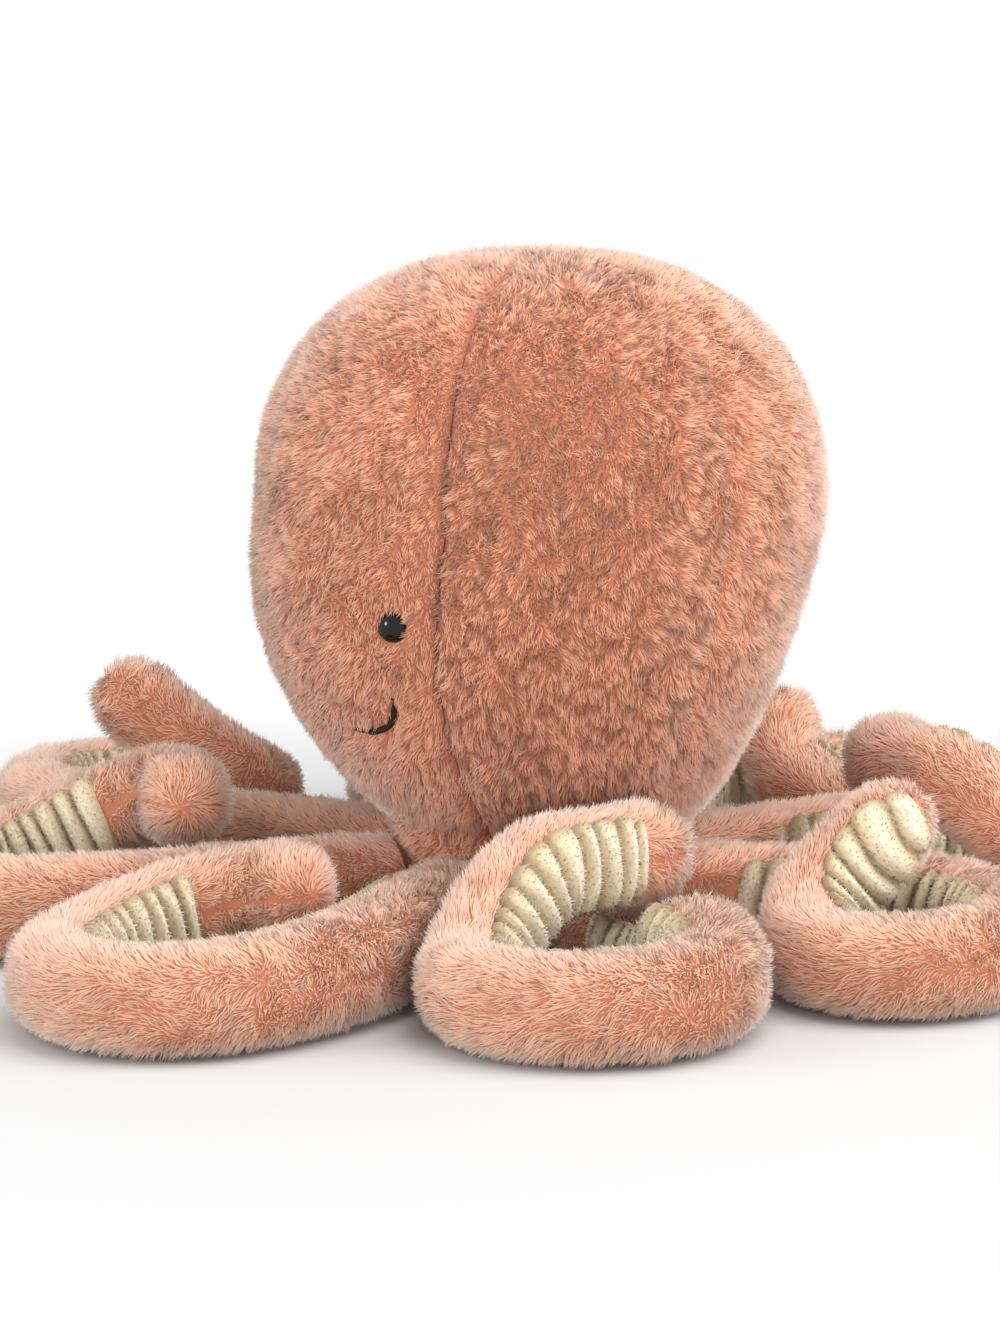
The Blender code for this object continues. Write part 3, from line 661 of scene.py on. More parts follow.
def add_panel_fur(number):
    """A panel's pile, which leaves the eyes and the smile free and parts at the seams."""
    name, start = PANEL_NAMES[number], SEAM_ANGLES[number]
    random = np.random.default_rng(100 + number)
    places = panel_places(start, random)
    base = head_points(places[:, 0], places[:, 1], CLOTH_DEPTH)
    normal = head_normals(places[:, 0], places[:, 1], CLOTH_DEPTH)
    smile, eye = near_face_piece(base)
    turned = (places[:, 1] + 180) % 360 - 180
    open_near, open_far = ease((turned + 1) / 4), ease((-turned - 7) / 5)
    between_eyes = np.abs(turned + EYE_ANGLE / 2) < EYE_ANGLE / 2
    keep = smile > 0.0004 + 0.0012 * open_near + 0.0009 * open_far
    keep &= eye > EYE_RADIUS * np.where(between_eyes, 0.78, 1.05)
    keep &= base[:, 2] > LOWEST_FUR
    kept = (a[keep] for a in (places, base, normal, smile, eye, open_near, turned))
    places, base, normal, smile, eye, open_near, turned = kept
    turn, reach = np.radians(places[:, 1]), np.hypot(base[:, 0], base[:, 1])
    sideways = np.stack([np.cos(turn), np.sin(turn), turn * 0], axis=1)
    downward = unit(np.cross(sideways, normal))
    downward *= -np.sign(downward[:, 2:] + 1e-9)
    across = (places[:, 1] - start) / PANEL_ANGLE
    from_seam = np.minimum(across, 1 - across) * math.radians(PANEL_ANGLE) * reach
    strength = 0.1 + 0.9 * beside_face(places[:, 1])
    away = np.where(across < 0.5, 1.0, -1.0) * np.exp(-from_seam / 0.004) * strength
    flat_x = np.radians(places[:, 1] - start - PANEL_ANGLE / 2) * reach
    flat_y = places[:, 0] * OUTLINE_LENGTH
    small = tufts(base, flat_x, flat_y, HEAD_TUFT, 500 + 10 * number)
    large = tufts(base, flat_x, flat_y, HEAD_TUFT * LARGE_TUFT, 900 + 10 * number)
    pull = tuft_pull(small, large, sideways, downward)
    swirl = waves(base, 0.034, 7) * 0.35 + waves(base, 0.014, 8) * 0.25 + (large[2] - 0.5) * 0.6
    nap = downward * (0.45 + 0.3 * waves(base, 0.022, 9))[:, None]
    nap = nap + sideways * (swirl + away * 0.9)[:, None]
    length = HEAD_PILE * random.uniform(0.75, 1.12, len(base)) * (0.9 + 0.2 * small[2])
    length *= 1 - 0.35 * strength * np.exp(-from_seam / 0.0025)
    length *= 1 - (0.05 + 0.57 * open_near) * np.exp(-(np.maximum(smile - 0.0012, 0) / 0.0026))
    trimmed = 0.40 * ease((np.abs(turned) - EYE_ANGLE + 2) / 3) - 0.8 * (turned < -EYE_ANGLE + 8)
    length *= 1 - trimmed * np.exp(-(np.maximum(eye - EYE_RADIUS, 0) / 0.004))
    tint = strand_tints(base, small, HEAD_TUFT, PANEL_CREASE_SHADE[number], random, 21)
    # Painted shade along each seam's parting, strongest beside the face.
    tint -= 0.30 * strength * np.exp(-from_seam / 0.0022)
    # Painted shade over a broad patch high on the left front panel.
    aside, above = (turned - SHADE_PATCH_ANGLE) / 24, (base[:, 2] - SHADE_PATCH_HEIGHT) / 0.050
    tint -= PAINTED_PATCH_SHADE * np.exp(-(aside**2) - above**2)
    # Painted light on the upward-facing crown.
    tint += CROWN_PAINTED_LIGHT * ease((normal[:, 2] - 0.60) / 0.35)
    # Painted light low on the head, lifting the shade there.
    tint += LOW_PAINTED_LIGHT * ease((0.11 - base[:, 2]) / 0.06)
    width = HEAD_STRAND * random.uniform(0.7, 1.2, len(base))
    tint = np.clip(tint, *TINT_LIMITS)
    fur = strands(
        "head_fur_" + name, base, normal, nap, HEAD_LEAN, pull,
        length, width, tint, random, HEAD_PLUSH,
    )
    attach(fur, "head")
    return len(base)


for number in range(len(PANEL_NAMES)):
    add_panel_cloth(number)
print("Strands on the head:", sum(add_panel_fur(number) for number in range(len(PANEL_NAMES))))

# %% [markdown]
# ## An arm's line
#
# An arm leaves the neck, runs out, turns clockwise round its loop and comes back inside it. A
# smooth curve through a few points gives that line, and the last points decide whether the tip
# lies in the loop, crosses over the root, or stands up. The numbers are the solids' own, so that
# cloth and fur lie where the solids are.

# %% The line of each arm
ARM_COUNT = 8
FIRST_ARM_ANGLE = 22.5
LOOP_TURN = 12
ROOT_SIZE = (0.049, 0.044)
ARM_SIZE = (0.043, 0.047)
TIP_SIZE = (0.040, 0.041)
LOOP_HALF_WIDTH = 0.050
ARM_REACH = 0.305
TIP_RISE = 0.060
TAPER_END = 0.30
FLAT_CUT = 0.0005
LINE_POINTS = 600
SMOOTHING = 21
REACHES = (0.95, 0.82, 0.81, 0.92, 0.90, 0.90, 1.00, 0.93)
WIDTHS = (0.98, 1.00, 0.95, 1.00, 0.98, 0.99, 1.00, 1.00)
RISES = (0.33, 0.56, 1.60, 0.80, 1.30, 0.55, 1.75, 0.58)
RISE_STARTS = (0.68, 0.68, 0.78, 0.68, 0.78, 0.68, 0.76, 0.68)
RISE_ENDS = (1.00, 0.86, 1.18, 0.88, 1.18, 0.95, 1.18, 0.92)
HINGES = (0.66, 0.68, 0.72, 0.66, 0.68, 0.66, 0.66, 0.66)
DENTS = (0, 0.32, 0, 0, 0, 0, 0, 0)
DENT_MIDDLE = 0.11
ROUTE = (
    (0.100, 0.35), (0.225, 0.54), (0.355, 0.76), (0.515, 0.94), (0.710, 1.00),
    (0.885, 0.80), (0.985, 0.36), (1.000, -0.16), (0.940, -0.66), (0.810, -0.96),
)
LYING = ((0.665, -1.00), (0.530, -0.84), (0.450, -0.50), (0.425, -0.10), (0.440, 0.22))
CROSSING = (
    (0.665, -0.93), (0.530, -0.70), (0.425, -0.38), (0.345, 0.05), (0.275, 0.50), (0.220, 0.92),
)
NEAR_STANDING = (
    (0.698, -0.91), (0.597, -0.71), (0.550, -0.35), (0.590, 0.02), (0.650, 0.21), (0.715, 0.40),
)
FAR_STANDING = (
    (0.690, -0.96), (0.590, -0.78), (0.550, -0.40), (0.590, 0.00), (0.660, 0.28), (0.760, 0.52),
)
TAILS = (LYING, CROSSING, NEAR_STANDING, LYING, NEAR_STANDING, LYING, FAR_STANDING, LYING)


def smooth_line(controls, samples):
    """Even points on a smooth curve through the controls, with its bends evened out."""
    ends = np.vstack([2 * controls[0] - controls[1], controls, 2 * controls[-1] - controls[-2]])
    dense = []
    for a, b, c, d in zip(ends, ends[1:], ends[2:], ends[3:]):
        for t in np.linspace(0, 1, 40, endpoint=False):
            bent = (2 * a - 5 * b + 4 * c - d) * t**2 + (3 * b - a - 3 * c + d) * t**3
            dense.append((2 * b + (c - a) * t + bent) / 2)
    dense = np.array(dense + [ends[-2]])
    travelled = np.concatenate([[0], np.cumsum(np.linalg.norm(np.diff(dense, axis=0), axis=1))])
    even = np.linspace(0, travelled[-1], samples)
    line = np.stack([np.interp(even, travelled, dense[:, axis]) for axis in range(2)], axis=1)
    before = 2 * line[0] - line[SMOOTHING:0:-1]
    after = 2 * line[-1] - line[-2 : -SMOOTHING - 2 : -1]
    sums = np.cumsum(np.vstack([np.zeros(2), before, line, after]), axis=0)
    return (sums[2 * SMOOTHING + 1 :] - sums[: -2 * SMOOTHING - 1]) / (2 * SMOOTHING + 1)


def level(angle):
    """The level direction at an angle round the toy."""
    turn = math.radians(angle)
    return np.array((math.sin(turn), -math.cos(turn), 0.0))


class Arm:
    """An arm's middle line with its section and directions, at shares of its length."""

    def __init__(self, number):
        self.name = "arm_" + str(number + 1)
        self.number = number
        self.hinge = HINGES[number]
        root_angle = FIRST_ARM_ANGLE + 360 / ARM_COUNT * number
        out, aside = level(root_angle - LOOP_TURN), level(root_angle - LOOP_TURN + 90)
        reach = ARM_REACH * REACHES[number] - ARM_SIZE[0] / 2
        start = self.seat(root_angle)
        turn = math.radians(LOOP_TURN)
        controls = [(start * math.cos(turn), start * math.sin(turn))]
        for far, side in ROUTE + TAILS[number]:
            aside_by = LOOP_HALF_WIDTH * WIDTHS[number] * side
            controls.append((start + (reach - start) * far, aside_by))
        first = start + (reach - start) * ROUTE[0][0]
        controls[1] = (first * math.cos(turn), first * math.sin(turn))
        flat = smooth_line(np.array(controls), LINE_POINTS)
        self.length = np.linalg.norm(np.diff(flat, axis=0), axis=1).sum()
        self.shares = np.linspace(0, 1, LINE_POINTS)
        line = flat[:, :1] * out + flat[:, 1:] * aside
        risen = (self.shares - RISE_STARTS[number]) / (RISE_ENDS[number] - RISE_STARTS[number])
        rise = TIP_RISE * RISES[number] * ease(risen)
        line[:, 2] = self.half_height(self.shares) - FLAT_CUT + rise
        self.line = line
        self.along = unit(np.gradient(line, axis=0))
        self.inside = unit(np.cross(self.along, (0, 0, 1)))
        self.up = np.cross(self.inside, self.along)

    def seat(self, root_angle):
        """How far out the solid's root lies, read from the solid."""
        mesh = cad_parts[self.name + "_root_plush"].data
        points = np.array([tuple(vertex.co) for vertex in mesh.vertices])
        out = level(root_angle)
        first = points[np.argsort(points @ out)[:8]]
        return float((first @ out).mean())

    def half_width(self, share):
        """Half of the tube's thickness, measured level."""
        thick = ROOT_SIZE[0] + (ARM_SIZE[0] - ROOT_SIZE[0]) * ease(share / TAPER_END)
        return (thick + (TIP_SIZE[0] - ARM_SIZE[0]) * ease(share)) / 2

    def half_height(self, share):
        """Half of the tube's thickness, measured upright, less where an arm is pressed flat."""
        thick = ROOT_SIZE[1] + (ARM_SIZE[1] - ROOT_SIZE[1]) * ease(share / TAPER_END)
        pressed = DENTS[self.number] * ease(2 - np.abs(2 * share / DENT_MIDDLE - 2))
        return (thick + (TIP_SIZE[1] - ARM_SIZE[1]) * ease(share)) / 2 * (1 - pressed)

    def at(self, share):
        """Middle, along, inside and up at any shares."""
        found = []
        for part in (self.line, self.along, self.inside, self.up):
            axes = [np.interp(share, self.shares, part[:, axis]) for axis in range(3)]
            found.append(np.stack(axes, axis=-1))
        return found[0], unit(found[1]), unit(found[2]), unit(found[3])


ARMS = [Arm(number) for number in range(ARM_COUNT)]
for arm in ARMS:
    print(arm.name, round(arm.length * 1000), "mm long")

# %% [markdown]
# ## Stuffed arms
#
# The plush of an arm is a fat rounded tube with a flat strip along the inside of the curl, where
# the cord is sewn on. Its closed end is a ball. The tube is made in three lengths that meet before
# and after the hinge where the curl starts. The root and the short middle length are fixed where
# they lie, and the curl rides its own body, so that a tail that turns back keeps its shape.

# %% Section and skin of an arm
CORD_HEIGHT = 0.031
CORD_ENDS = (0.062, 0.030, 0.006, 0.040, 0.036, 0.040, 0.030, 0.072)
CORD_FIRST = 0.085
CLOSING_LENGTH = 0.012
SEAT_SHARE = 0.66
ROUNDNESS = 2.4
MEET_BEFORE = 0.05
MEET_PAST = 0.06
BEND_SHARE = 0.03
LENGTHS = ("root", "bend", "curl")
SKIN_STEP = 0.0035
SECTION_POINTS = 44
NARROWEST_EDGE = 0.03
NECK_END = 0.045
SKIN_ABOVE_FLOOR = 0.0008


def section(arm, share, around, depth):
    """Offsets of the tube's skin, round from the strip's lower edge to its upper edge, 0 to 1."""
    wide, tall = arm.half_width(share) - depth, arm.half_height(share) - depth
    past = share - 1 + (CORD_ENDS[arm.number] + 0.005) / arm.length
    closed = ease(past * arm.length / CLOSING_LENGTH)
    unsewn = ease((CORD_FIRST + 0.003 / arm.length - share) * arm.length / CLOSING_LENGTH)
    edge = np.arcsin(np.clip((CORD_HEIGHT / 2 / tall), 0, 0.95) ** (ROUNDNESS / 2)) * 0.97
    edge = np.maximum(edge * (1 - closed) * (1 - unsewn), NARROWEST_EDGE)
    turn = -edge - around * (2 * math.pi - 2 * edge)
    power = 2 / ROUNDNESS
    aside = wide * np.sign(np.cos(turn)) * np.abs(np.cos(turn)) ** power
    rise = tall * np.sign(np.sin(turn)) * np.abs(np.sin(turn)) ** power
    return np.minimum(aside, wide * (0.84 + 0.16 * closed)), rise


def swell_at(arm, share):
    """How much of the full section is left near the closed ball end."""
    cap = TIP_SIZE[0] / 2 / arm.length
    past = np.clip((share - (1 - cap)) / cap, 0, 1)
    return np.sqrt(np.clip(1 - past**2.2, 0, 1))


def arm_points(arm, share, around, depth):
    """Points of an arm's skin: along it from 0 to 1, round from the strip, under the surface."""
    middle, _, inside, up = arm.at(share)
    aside, rise = section(arm, share, around, depth)
    swell = swell_at(arm, share)
    return middle + inside * (aside * swell)[..., None] + up * (rise * swell)[..., None]


def arm_normals(arm, share, around, depth):
    """Outward directions of an arm's skin, from points a small step apart."""
    step, swing = 0.0012, 0.004
    ahead = arm_points(arm, np.minimum(share + step, 1), around, depth)
    behind = arm_points(arm, share - step, around, depth)
    later = arm_points(arm, share, around + swing, depth)
    turned = later - arm_points(arm, share, around - swing, depth)
    return unit(np.cross(turned, ahead - behind))


def arm_ways(arm):
    """The places where an arm bends: from and to at the neck, and before and after the hinge."""
    shares = np.array([0.0, NECK_END, arm.hinge - BEND_SHARE, arm.hinge + BEND_SHARE])
    return arm.at(shares)[0]


def dress(arm, piece, length_name):
    """Fix a root or middle length where it lies, or let a curl length ride the curl's body."""
    near, out, before, after = arm_ways(arm)
    if length_name == "root":
        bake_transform(piece)
    elif length_name == "bend":
        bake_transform(piece)
    else:
        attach(piece, arm.name + "_curl")


def stands_for(length_name):
    """The solid's length that a dressed length hides: the bend and the curl share one."""
    return "root" if length_name == "root" else "curl"


def add_arm_skin(arm, length_name, first, last):
    """One length of an arm's cloth, closed at both ends."""
    rows = max(8, int((last - first) * arm.length / SKIN_STEP))
    share = np.linspace(first, last, rows)
    if length_name == "curl":
        cap = TIP_SIZE[0] / 2 / arm.length
        turn = np.linspace(0, math.pi / 2, 9)[1:-1]
        body = np.linspace(first, 1 - cap, rows)
        share = np.concatenate([body, 1 - cap + cap * np.sin(turn)])
        rows = len(share)
    around = np.linspace(0, 1, SECTION_POINTS)
    grid_share, grid_around = [g.reshape(-1) for g in np.meshgrid(share, around, indexing="ij")]
    points = arm_points(arm, grid_share, grid_around, CLOTH_DEPTH)
    points[:, 2] = np.maximum(points[:, 2], SKIN_ABOVE_FLOOR)
    sides = grid_quads(rows, SECTION_POINTS, True)
    middles = points.reshape(rows, SECTION_POINTS, 3)[[0, -1]].mean(axis=1)
    if length_name == "curl":
        middles[1] = arm.at(np.array([1.0]))[0][0]
    total = rows * SECTION_POINTS
    ring = np.arange(SECTION_POINTS)
    beside = (ring + 1) % SECTION_POINTS
    start_cap = np.stack([ring * 0 + total, beside, ring], axis=1)
    end = total - SECTION_POINTS
    end_cap = np.stack([ring * 0 + total + 1, end + ring, end + beside], axis=1)
    # The skin takes a low height on the backing, which is painted shade.
    tints = np.full(total + 2, 0.5)
    skin = mesh_piece(
        arm.name + "_" + length_name + "_skin", np.vstack([points, middles]),
        [sides, start_cap, end_cap], tints, tints * 0 + CLOTH_PAINTED_SHADE, BACKING_PAINTED_SHADE,
    )
    dress(arm, skin, length_name)
    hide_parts(arm.name + "_" + stands_for(length_name) + "_plush")


def lengths(arm, first, last):
    """The three lengths of an arm, each with the shares where it starts and ends."""
    meets = (first, arm.hinge - MEET_BEFORE, arm.hinge + MEET_PAST, last)
    return zip(LENGTHS, meets[:-1], meets[1:])


for arm in ARMS:
    for length_name, first, last in lengths(arm, 0.0, 1.0):
        add_arm_skin(arm, length_name, first, last)
print("Arm skins made")

# %% [markdown]
# ## Fur on the arms
#
# The arms' pile is longer than the head's and lies in bigger locks. It is combed along the arm, and
# at the ball end it spreads from a whorl. Where the strip is sewn in, the locks are shorter.

# %% Arm fur
ARM_PILE = 0.0059
ARM_LEAN = 1.20
ARM_STRAND = 0.00088
ARM_TUFT = 0.0046
ARM_SPACING = 0.00110
# Painted light on the arms' upward-facing sides.
ARM_TOP_PAINTED_LIGHT = 0.20
ROUND_TO_HEIGHT = 4.6
WHORL_REACH = 0.045


def arm_places(arm, length_name, first, last, random):
    """Where the strands of a length stand: along the arm, and round it from the strip."""
    rows = int((last - first) * arm.length / ARM_SPACING)
    cap = TIP_SIZE[0] / 2 / arm.length
    places = []
    for row in range(rows):
        middle = first + (last - first) * (row + 0.5) / rows
        if length_name == "curl" and middle > 1 - cap:
            break
        outline = ROUND_TO_HEIGHT * arm.half_height(np.array(middle)) * 2 / 1.9
        across = int(outline / ARM_SPACING)
        steps = (np.arange(across) + random.uniform(0, 1, across)) / across
        rise = first + (last - first) * (row + random.uniform(0, 1, across)) / rows
        places.append(np.stack([rise, steps], axis=1))
    if length_name == "curl":
        rings = int(TIP_SIZE[0] / 2 * math.pi / 2 / ARM_SPACING)
        for ring in range(rings):
            turn = (ring + random.uniform(0, 1)) / rings * math.pi / 2
            across = max(3, int(2 * math.pi * TIP_SIZE[0] / 2 * math.cos(turn) / ARM_SPACING))
            steps = (np.arange(across) + random.uniform(0, 1, across)) / across
            jitter = np.clip(turn + random.normal(0, 0.04, across), 0.01, math.pi / 2 - 0.01)
            places.append(np.stack([1 - cap + cap * np.sin(jitter), steps], axis=1))
    return np.concatenate(places)


def add_arm_fur(arm, length_name, first, last, seed):
    """One length's pile, combed along the arm and spread from a whorl at the ball end."""
    random = np.random.default_rng(seed)
    places = arm_places(arm, length_name, first, last, random)
    share, around = places[:, 0], places[:, 1]
    base = arm_points(arm, share, around, CLOTH_DEPTH)
    normal = arm_normals(arm, np.minimum(share, 0.9985), np.clip(around, 0.01, 0.99), CLOTH_DEPTH)
    _, along, _, _ = arm.at(share)
    tip_end = arm.at(np.array([1.0]))[0][0]
    whorl = unit(base - tip_end)
    near_tip = ease(1 - np.linalg.norm(base - tip_end, axis=1) / WHORL_REACH)[:, None]
    turned = unit(np.cross(along, normal))
    flat_x, flat_y = around * ROUND_TO_HEIGHT * arm.half_height(share), share * arm.length
    small = tufts(base, flat_x, flat_y, ARM_TUFT, 1300 + 10 * arm.number)
    large = tufts(base, flat_x, flat_y, ARM_TUFT * LARGE_TUFT, 1700 + 10 * arm.number)
    pull = tuft_pull(small, large, unit(np.cross(normal, along)), along)
    swirl = waves(base, 0.030, 31) * 0.35 + waves(base, 0.011, 32) * 0.22 + (large[2] - 0.5) * 0.5
    comb = along * (0.60 + 0.25 * waves(base, 0.02, 33))[:, None] + turned * swirl[:, None]
    nap = comb * (1 - near_tip) + (whorl * 0.7 + turned * swirl[:, None]) * near_tip
    edge = np.minimum(around, 1 - around)
    length = ARM_PILE * random.uniform(0.80, 1.10, len(base)) * (0.90 + 0.20 * small[2])
    length *= 1 - 0.62 * np.exp(-edge / 0.03)
    length *= np.where(base[:, 2] < 0.004, 0.6, 1)
    # Painted shade in the creases between tufts.
    tint = strand_tints(base, small, ARM_TUFT, 0.6, random, 41 + arm.number)
    # Painted light on the arm's upper side.
    tint = np.clip(tint + ARM_TOP_PAINTED_LIGHT * ease((normal[:, 2] - 0.35) / 0.6), *TINT_LIMITS)
    width = ARM_STRAND * random.uniform(0.7, 1.2, len(base))
    name = arm.name + "_" + length_name + "_fur"
    fur = strands(name, base, normal, nap, ARM_LEAN, pull, length, width, tint, random, ARM_PLUSH)
    dress(arm, fur, length_name)
    return len(base)


planted = 0
for arm in ARMS:
    for length_name, first, last in lengths(arm, 0.0, 1.0):
        seed = 200 + 3 * arm.number + LENGTHS.index(length_name)
        planted += add_arm_fur(arm, length_name, first, last, seed)
print("Strands on the arms:", planted)

# %% [markdown]
# ## Ribbed cord strips
#
# The cord lies on the inside of each curl. Its ribs run across the strip and are as fat as they
# are wide, so the strip looks like a row of soft rolls, with a wavy upper edge. A second, much
# finer planting of short locks gives it a nap.

# %% Cords and their nap
RIB_PITCH = 0.0100
CORD_BASE = 0.0022
CORD_RIB = 0.0070
CORD_STEP = 0.00092
CORD_COLUMNS = 17
CORD_SEAM = 0.0006
CORD_UNDER = 0.0036
CORD_ABOVE_FLOOR = 0.0004
NAP_SPACING = 0.0016
NAP_LENGTH = 0.0015
NAP_RADIUS = 0.00046


def cord_surface(arm, share, across, seed):
    """The strip's surface: across from -1 at its lower edge to 1 at its upper edge."""
    middle, _, inside, up = arm.at(share)
    ribs = max(1, round(arm.length / RIB_PITCH))
    flat = np.stack([share * arm.length, across * 0.006, share * 0], axis=-1).reshape(-1, 3)
    wobble = 0.20 * waves(flat, 0.02, seed)
    phase = share * ribs + wobble.reshape(share.shape)
    bulge = np.sin(math.pi * (phase % 1)) ** 0.75
    left = (1 - CORD_ENDS[arm.number] / arm.length - share) * arm.length
    closing = np.clip(left / CLOSING_LENGTH + 0.50, 0, 1)
    opening = np.clip((share - CORD_FIRST) * arm.length / 0.010, 0, 1)
    ends = np.sqrt(np.clip(np.minimum(closing, opening), 0, 1)) * 0.75 + 0.25
    dome = np.clip(1 - np.abs(across) ** 2.6, 0, 1) ** 0.6
    thick = (CORD_BASE + CORD_RIB * bulge * (0.55 + 0.45 * dome)) * dome * ends
    tall = (CORD_HEIGHT / 2 - CORD_SEAM + 0.0050 * bulge) * (0.55 + 0.45 * ends)
    tall = np.minimum(tall, arm.half_height(share) * 0.88) * swell_at(arm, share)
    seat = arm.half_width(share) * SEAT_SHARE * swell_at(arm, share) - CORD_SEAM
    surface = middle + inside * (seat + thick)[..., None] + up * (across * tall)[..., None]
    return surface, bulge * dome


def add_cord(arm, length_name, first, last):
    """One length of the ribbed strip, with a flat back that is sewn to the arm."""
    rows, columns = int((last - first) * arm.length / CORD_STEP), CORD_COLUMNS
    share = np.linspace(first, last, rows)
    across = np.sin(np.linspace(-math.pi / 2, math.pi / 2, columns))
    grid_share, grid_across = np.meshgrid(share, across, indexing="ij")
    front, bulge = cord_surface(arm, grid_share, grid_across, 61 + arm.number)
    front = front.reshape(-1, 3)
    middle, _, inside, up = arm.at(grid_share.reshape(-1))
    flat_share = grid_share.reshape(-1)
    seat = arm.half_width(flat_share) * SEAT_SHARE * swell_at(arm, flat_share) - CORD_UNDER
    level_up = np.sum((front - middle) * up, axis=1)
    back = middle + inside * seat[:, None] + up * (level_up * 0.94)[:, None]
    points = np.vstack([front, back])
    points[:, 2] = np.maximum(points[:, 2], CORD_ABOVE_FLOOR)
    face = grid_quads(rows, columns, False)
    border = np.concatenate([
        np.arange(columns), np.arange(1, rows) * columns + columns - 1,
        rows * columns - 2 - np.arange(columns - 1), (rows - 2 - np.arange(rows - 2)) * columns,
    ])
    beside = np.roll(border, -1)
    rim = np.stack([border, beside, beside + rows * columns, border + rows * columns], axis=1)
    # Heights pick the cream: painted shade in the rib valleys and on the hidden back, painted light
    # on the rib tops.
    height = np.concatenate([0.1 + 0.8 * bulge.reshape(-1), np.zeros(len(back))])
    tint = 0.5 + 0.2 * waves(points, 0.02, 71)
    cord = mesh_piece(
        arm.name + "_" + length_name + "_ribs", points,
        [face[:, ::-1], face + rows * columns, rim], np.clip(tint, 0, 1), height, CORD,
    )
    dress(arm, cord, length_name)
    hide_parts(arm.name + "_" + stands_for(length_name) + "_cord")


def add_nap(arm, length_name, first, last, seed):
    """The strip's nap: very short spikes that stand on the ribs."""
    random = np.random.default_rng(seed)
    rows = int((last - first) * arm.length / NAP_SPACING)
    columns = int(CORD_HEIGHT * 1.25 / NAP_SPACING)
    row = np.repeat(np.arange(rows), columns) + random.uniform(0, 1, rows * columns)
    column = np.tile(np.arange(columns), rows) + random.uniform(0, 1, rows * columns)
    share = first + (last - first) * row / rows
    across = np.clip(-1 + 2 * column / columns, -0.985, 0.985)
    base, bulge = cord_surface(arm, share, across, 61 + arm.number)
    ahead, _ = cord_surface(arm, share + 0.0006, across, 61 + arm.number)
    above, _ = cord_surface(arm, share, across + 0.01, 61 + arm.number)
    normal = unit(np.cross(ahead - base, above - base))
    _, along, inside, up = arm.at(share)
    outward = inside + 0.6 * up * across[:, None]
    normal *= np.sign(np.sum(normal * outward, axis=1, keepdims=True) + 1e-9)
    count = len(base)
    nap = along * random.normal(0, 0.5, (count, 1)) + up * random.normal(0.1, 0.5, (count, 1))
    way = unit(normal + nap * 0.5)
    length = NAP_LENGTH * random.uniform(0.7, 1.3, count)
    side = unit(np.cross(way, random.normal(size=(count, 3))))
    over = np.cross(way, side)
    points = np.empty((count, 4, 3))
    for corner in range(3):
        turn = 2 * math.pi * corner / 3
        spoke = side * math.cos(turn) + over * math.sin(turn)
        points[:, corner] = base - normal * 0.0003 + spoke * NAP_RADIUS
    points[:, 3] = base + way * length[:, None]
    points[:, :, 2] = np.maximum(points[:, :, 2], ABOVE_FLOOR)
    # Nap in a valley takes painted shade, nap on a rib top painted light.
    low = 0.1 + 0.75 * bulge
    heights = np.stack([low, low, low, np.minimum(low + 0.15, 1)], axis=1).reshape(-1)
    tint = 0.5 + 0.2 * waves(base, 0.02, 71) + 0.22 * waves(base, 0.0028, 72)
    tint = np.clip(tint + random.normal(0, 0.16, count), 0, 1)
    facing = np.repeat(unit(normal + random.normal(0, 0.30, (count, 3))), 4, axis=0)
    fuzz = mesh_piece(
        arm.name + "_" + length_name + "_nap", points.reshape(-1, 3),
        [spike_faces(count)], np.repeat(tint, 4), heights, CORD,
    )
    fuzz.data.normals_split_custom_set_from_vertices(facing)
    dress(arm, fuzz, length_name)
    return count


nap_count = 0
for arm in ARMS:
    last = 1 - (CORD_ENDS[arm.number] - 0.004) / arm.length
    for length_name, first, end in lengths(arm, CORD_FIRST, last):
        add_cord(arm, length_name, first, end)
        seed = 400 + 3 * arm.number + LENGTHS.index(length_name)
        nap_count += add_nap(arm, length_name, first, end, seed)
print("Nap locks:", nap_count)

# %% [markdown]
# ## Eyes, smile and underside
#
# The eyes are polished beads, turned as smooth domes over the solid ones. The smile is sewn in
# satin stitch: thick at both corners of the mouth, and thinner toward its middle and its ends. The
# underside is a plain disc of the same plush cloth. Beads and disc are turned forms, so one helper
# joins the rings of both.

# %% Turned forms


def turned_faces(ring_count, spokes):
    """Faces of a closed turned form: its first point, its rings in order, and its last point."""
    ring = np.arange(spokes)
    beside = (ring + 1) % spokes
    end = 1 + (ring_count - 1) * spokes
    first = np.stack([ring * 0, beside + 1, ring + 1], axis=1)
    last = np.stack([ring * 0 + ring_count * spokes + 1, ring + end, beside + end], axis=1)
    return [first, grid_quads(ring_count, spokes, True) + 1, last]


# %% Eyes
BEAD_SPOKES = 48
BEAD_SINK = 0.0012
BEAD_DOME = 0.0038
BEAD_BACK = ((0.985, -0.0058), (0.90, -0.0070))
BEAD_END = 0.0076
BEAD = bpy.data.materials.new("polished_bead")
BEAD.use_nodes = True
bead_shader = BEAD.node_tree.nodes["Principled BSDF"]
bead_shader.inputs["Base Color"].default_value = (0.004, 0.002, 0.0015, 1)
bead_shader.inputs["Roughness"].default_value = 0.12
bead_shader.inputs["Specular IOR Level"].default_value = 0.36


